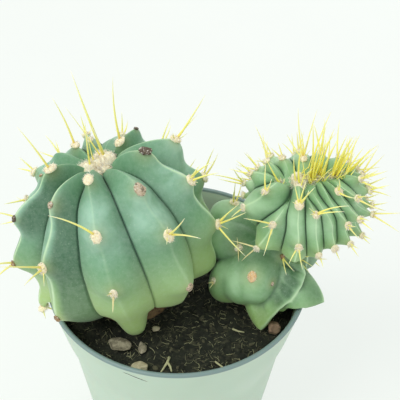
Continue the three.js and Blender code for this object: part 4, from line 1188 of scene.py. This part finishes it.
def make_soil(material, seed):
    """The soil's filling: an uneven top, and plain sides and bottom inside the pot."""
    widest = inner_reach(SOIL_TOP)
    reach = np.linspace(0.5, widest, SOIL_RINGS)
    top = np.array([ring(r, SOIL_TOP - SOIL_SINK, SOIL_SIDES) for r in reach])
    lumps = 0.9 * wobble(top, 9, seed) + 0.8 * np.abs(wobble(top, 3.2, seed + 2))
    lumps = lumps + 0.5 * wobble(top, 1.3, seed + 4)
    top[..., 2] += np.minimum(lumps, 0.5) - 1.2 * smooth_step(widest - 5, widest, reach)[:, None]
    tone = 0.25 * smooth_step(0.2, 0.6, wobble(top, 1.6, seed + 7))
    skirt = [ring(inner_reach(height), height, SOIL_SIDES) for height in (70, 50, 25, SOIL_BOTTOM)]
    middles = [(0, 0, top[0, :, 2].mean()), (0, 0, SOIL_BOTTOM)]
    points = np.concatenate([top.reshape(-1, 3), *skirt, middles])
    faces = closed_faces(SOIL_RINGS + len(skirt), SOIL_SIDES)
    tones = np.zeros(len(points))
    tones[:tone.size] = tone.ravel()
    return make_object("soil_body", points, faces, material, {"tone": tones})


def soil_spot(draw, margin=1.0):
    while True:
        x, y = draw.uniform(-48, 48), draw.uniform(-48, 48)
        if math.hypot(x, y) < inner_reach(SOIL_TOP) - margin:
            return x, y


def soil_height(ground, x, y):
    hit = ground.ray_cast(Vector((x, y, 120)) * MM, Vector((0, 0, -1)))
    return hit[0].z / MM if hit[0] else SOIL_TOP - SOIL_SINK


def make_crumbs(ground, material, draw):
    soup = Soup()
    for _ in range(CRUMBS):
        x, y = soil_spot(draw)
        size = 0.28 + 0.75 * draw.random() ** 4
        at = np.array([x, y, soil_height(ground, x, y) + 0.25 * size])
        turn = draw.uniform(0, math.pi)
        below = unit(np.array([math.cos(turn), math.sin(turn), draw.gauss(0, 0.2)]))
        out = unit(np.array([draw.gauss(0, 0.2), draw.gauss(0, 0.2), 1]))
        side = unit(np.cross(out, below))
        shape = [size * draw.uniform(0.7, 1.6), size * draw.uniform(0.6, 1.0), size * draw.uniform(0.4, 0.8)]
        tone = draw.choice([0, 0, 0, 0.1, 0.2, 0.5])
        add_lump(soup, (at, out, below, side), shape, 0.4, draw.uniform(0, 90), SMALL_BALL, tone=tone)
    return soup.build("soil_crumbs", material)


def make_fibres(ground, material, draw):
    soup = Soup()
    for _ in range(FIBRES):
        x, y = soil_spot(draw, 3)
        turn, length, bend = draw.uniform(0, 2 * math.pi), draw.uniform(0.9, 3.6), draw.gauss(0, 0.5)
        path = []
        for share in np.linspace(0, 1, 6):
            heading = turn + bend * share
            px, py = x + length * share * math.cos(heading), y + length * share * math.sin(heading)
            if math.hypot(px, py) > inner_reach(SOIL_TOP) - 0.6:
                break
            path.append((px, py, soil_height(ground, px, py) + 0.15 + 0.25 * draw.random()))
        if len(path) > 2:
            thick = draw.uniform(0.04, 0.11)
            tone = draw.choice([0.0, 0.2, 0.4, 0.8, 1.0])
            add_strand(soup, path, np.linspace(thick, thick * 0.5, len(path)), 5, tone=tone)
    return soup.build("soil_fibres", material)


# The first two make one forked twig
TWIGS = [
    [(-1.8, -36.5), (-2.4, -39.0), (-3.6, -41.6), (-4.6, -43.6)],
    [(-2.4, -39.0), (-1.2, -41.0), (-0.6, -43.2)],
    [(15.6, -38.0), (18.5, -40.3), (21.6, -42.6)],
    [(22.4, -22.0), (24.6, -23.2), (27.0, -23.6)],
]


def make_twigs(ground, material):
    soup = Soup()
    for number, route in enumerate(TWIGS):
        path = [(x, y, soil_height(ground, x, y) + 0.6) for x, y in route]
        radii = np.linspace(0.55, 0.3, len(path)) * (1.0 if number < 2 else 0.75)
        add_strand(soup, path, radii, 8, tone=1.0)
    return soup.build("twigs", material)


def make_loose(name, item, material, seed):
    """A chip or a pebble on its small flat underside. Its facets are cut off a rough ball."""
    points, faces = STONE_BALL
    cut = item["cut"]
    rough = cut["rough"] * wobble(points * 2.2, 1.0, seed) + cut["fine"] * wobble(points * 7, 1.0, seed)
    body = points * (1 + rough)[:, None]
    draw = random.Random(int(10 * seed))
    for _ in range(cut["facets"]):
        facet = unit(scattered(draw, 1))
        past = np.maximum(body @ facet - draw.uniform(0.62, 0.86) * cut["reach"], 0)
        body = body - past[:, None] * facet
    body = body * item["half"] / np.abs(body).max(0)
    flat = -0.6 * item["half"][2]
    body[:, 2] = np.maximum(body[:, 2], flat)
    turn = math.radians(item["turn"])
    spin = np.array([[math.cos(turn), -math.sin(turn), 0], [math.sin(turn), math.cos(turn), 0], [0, 0, 1]])
    body = body @ spin.T + np.array([*item["place"], REST_HEIGHT - flat])
    return make_object(name + "_body", body, faces, material)


# Stage

def make_camera():
    tilt, roll = math.radians(CAMERA_TILT), math.radians(CAMERA_ROLL)
    ahead = np.array([0, math.cos(tilt), -math.sin(tilt)])
    right = np.array([1.0, 0, 0])
    up = np.cross(right, ahead)
    data = bpy.data.cameras.new("camera")
    data.lens, data.sensor_width, data.clip_start = CAMERA_LENS, CAMERA_SENSOR, 0.01
    camera = bpy.data.objects.new("camera", data)
    axes = np.stack([turned(roll, right, up), turned(roll, up, -right), -ahead], 1)
    spin = Matrix(axes.tolist()).to_4x4()
    camera.matrix_world = Matrix.Translation(Vector(CAMERA_PLACE) * MM) @ spin
    bpy.context.scene.collection.objects.link(camera)
    bpy.context.scene.camera = camera


def add_area(name, place, size, power, color):
    data = bpy.data.lights.new(name, "AREA")
    data.size, data.energy, data.color = size, power, color
    light = bpy.data.objects.new(name, data)
    light.location = place
    light.rotation_euler = (Vector(LIT_PLACE) - Vector(place)).to_track_quat("-Z", "Y").to_euler()
    bpy.context.scene.collection.objects.link(light)


def make_stage():
    scene = bpy.context.scene
    scene.world = bpy.data.worlds.new("world")
    scene.world.use_nodes = True
    background = scene.world.node_tree.nodes["Background"]
    background.inputs["Color"].default_value = SKY_COLOR
    background.inputs["Strength"].default_value = SKY_STRENGTH
    for light in LIGHTS:
        add_area(*light)
    corners = np.array([(-1, -1, 0), (1, -1, 0), (1, 1, 0), (-1, 1, 0)]) * FLOOR_HALF
    make_object("floor", corners, [(0, 1, 2, 3)], floor_material(), smooth=False)
    scene.view_settings.view_transform = "Standard"
    scene.view_settings.look = "None"
    scene.view_settings.exposure = 0.0


def make_heads():
    draw = random.Random(HEAD_SEED)
    barrel, base, cap = Head(BARREL), Base(BASE), Head(CAP)
    blue, green, bright = [skin_material(*colors) for colors in SKINS]
    cork = loose_material("cork", (84, 62, 42), (158, 128, 92), 2.5)
    barrel_piece = keep(ribbed_skin("barrel_skin", barrel, blue, 2.0), "cactus_skin", "barrel_head")
    base_piece = base_skin("base_skin", base, green, 9.0)
    pushed_clear(base_piece, barrel_piece, TOUCH_GAP)
    keep(base_piece, "cactus_skin", "crested_head")
    keep(ribbed_skin("cap_skin", cap, bright, 5.0), "cactus_skin", "crested_head")
    keep(make_foot("barrel_foot", BARREL_FOOT, cork), "bark", "barrel_head")
    keep(make_foot("base_foot", BASE_FOOT, cork), "bark", "crested_head")
    looks = {"pads": pad_material(), "wool": wool_material(), "spines": spine_material()}
    slots = {"pads": "wool", "wool": "wool", "spines": "spines"}
    tops = [("barrel", barrel, dress_barrel_crown), ("crested", cap, dress_crest_line)]
    for prefix, head, dress_top in tops:
        soups = {key: Soup() for key in looks}
        for index, item in enumerate(head.ribs):
            for one in item["pads"]:
                dress_pad(head.form, head.frame(index, one["down"]), one, soups, draw)
        dress_top(head, soups, draw)
        for one in BASE["pads"] if head is cap else []:
            dress_pad(BASE, base.frame(one["facing"], one["down"]), one, soups, draw)
        for key, soup in soups.items():
            keep(soup.build(prefix + "_" + key, looks[key]), slots[key], prefix + "_head")


def make_pot_and_soil():
    draw = random.Random(GROUND_SEED)
    keep(make_pot(pot_material()), "pot_plastic", "pot")
    keep(make_scratches(scratch_material()), "pot_plastic", "pot")
    earth, fibre = soil_material(), fibre_material()
    soil = make_soil(earth, 3.0)
    keep(soil, "potting_soil", "soil")
    ground = ray_tree(soil)
    keep(make_crumbs(ground, earth, draw), "potting_soil")
    keep(make_fibres(ground, fibre, draw), "bark")
    keep(make_twigs(ground, fibre), "bark")
    looks = {slot: loose_material(slot, *colors) for slot, colors in STONES.items()}
    for number, (name, item) in enumerate(LOOSE.items()):
        slot = item["slot"]
        keep(make_loose(name, item, looks[slot], 4.0 + number), slot, name)


make_camera()
make_stage()
make_heads()
make_pot_and_soil()
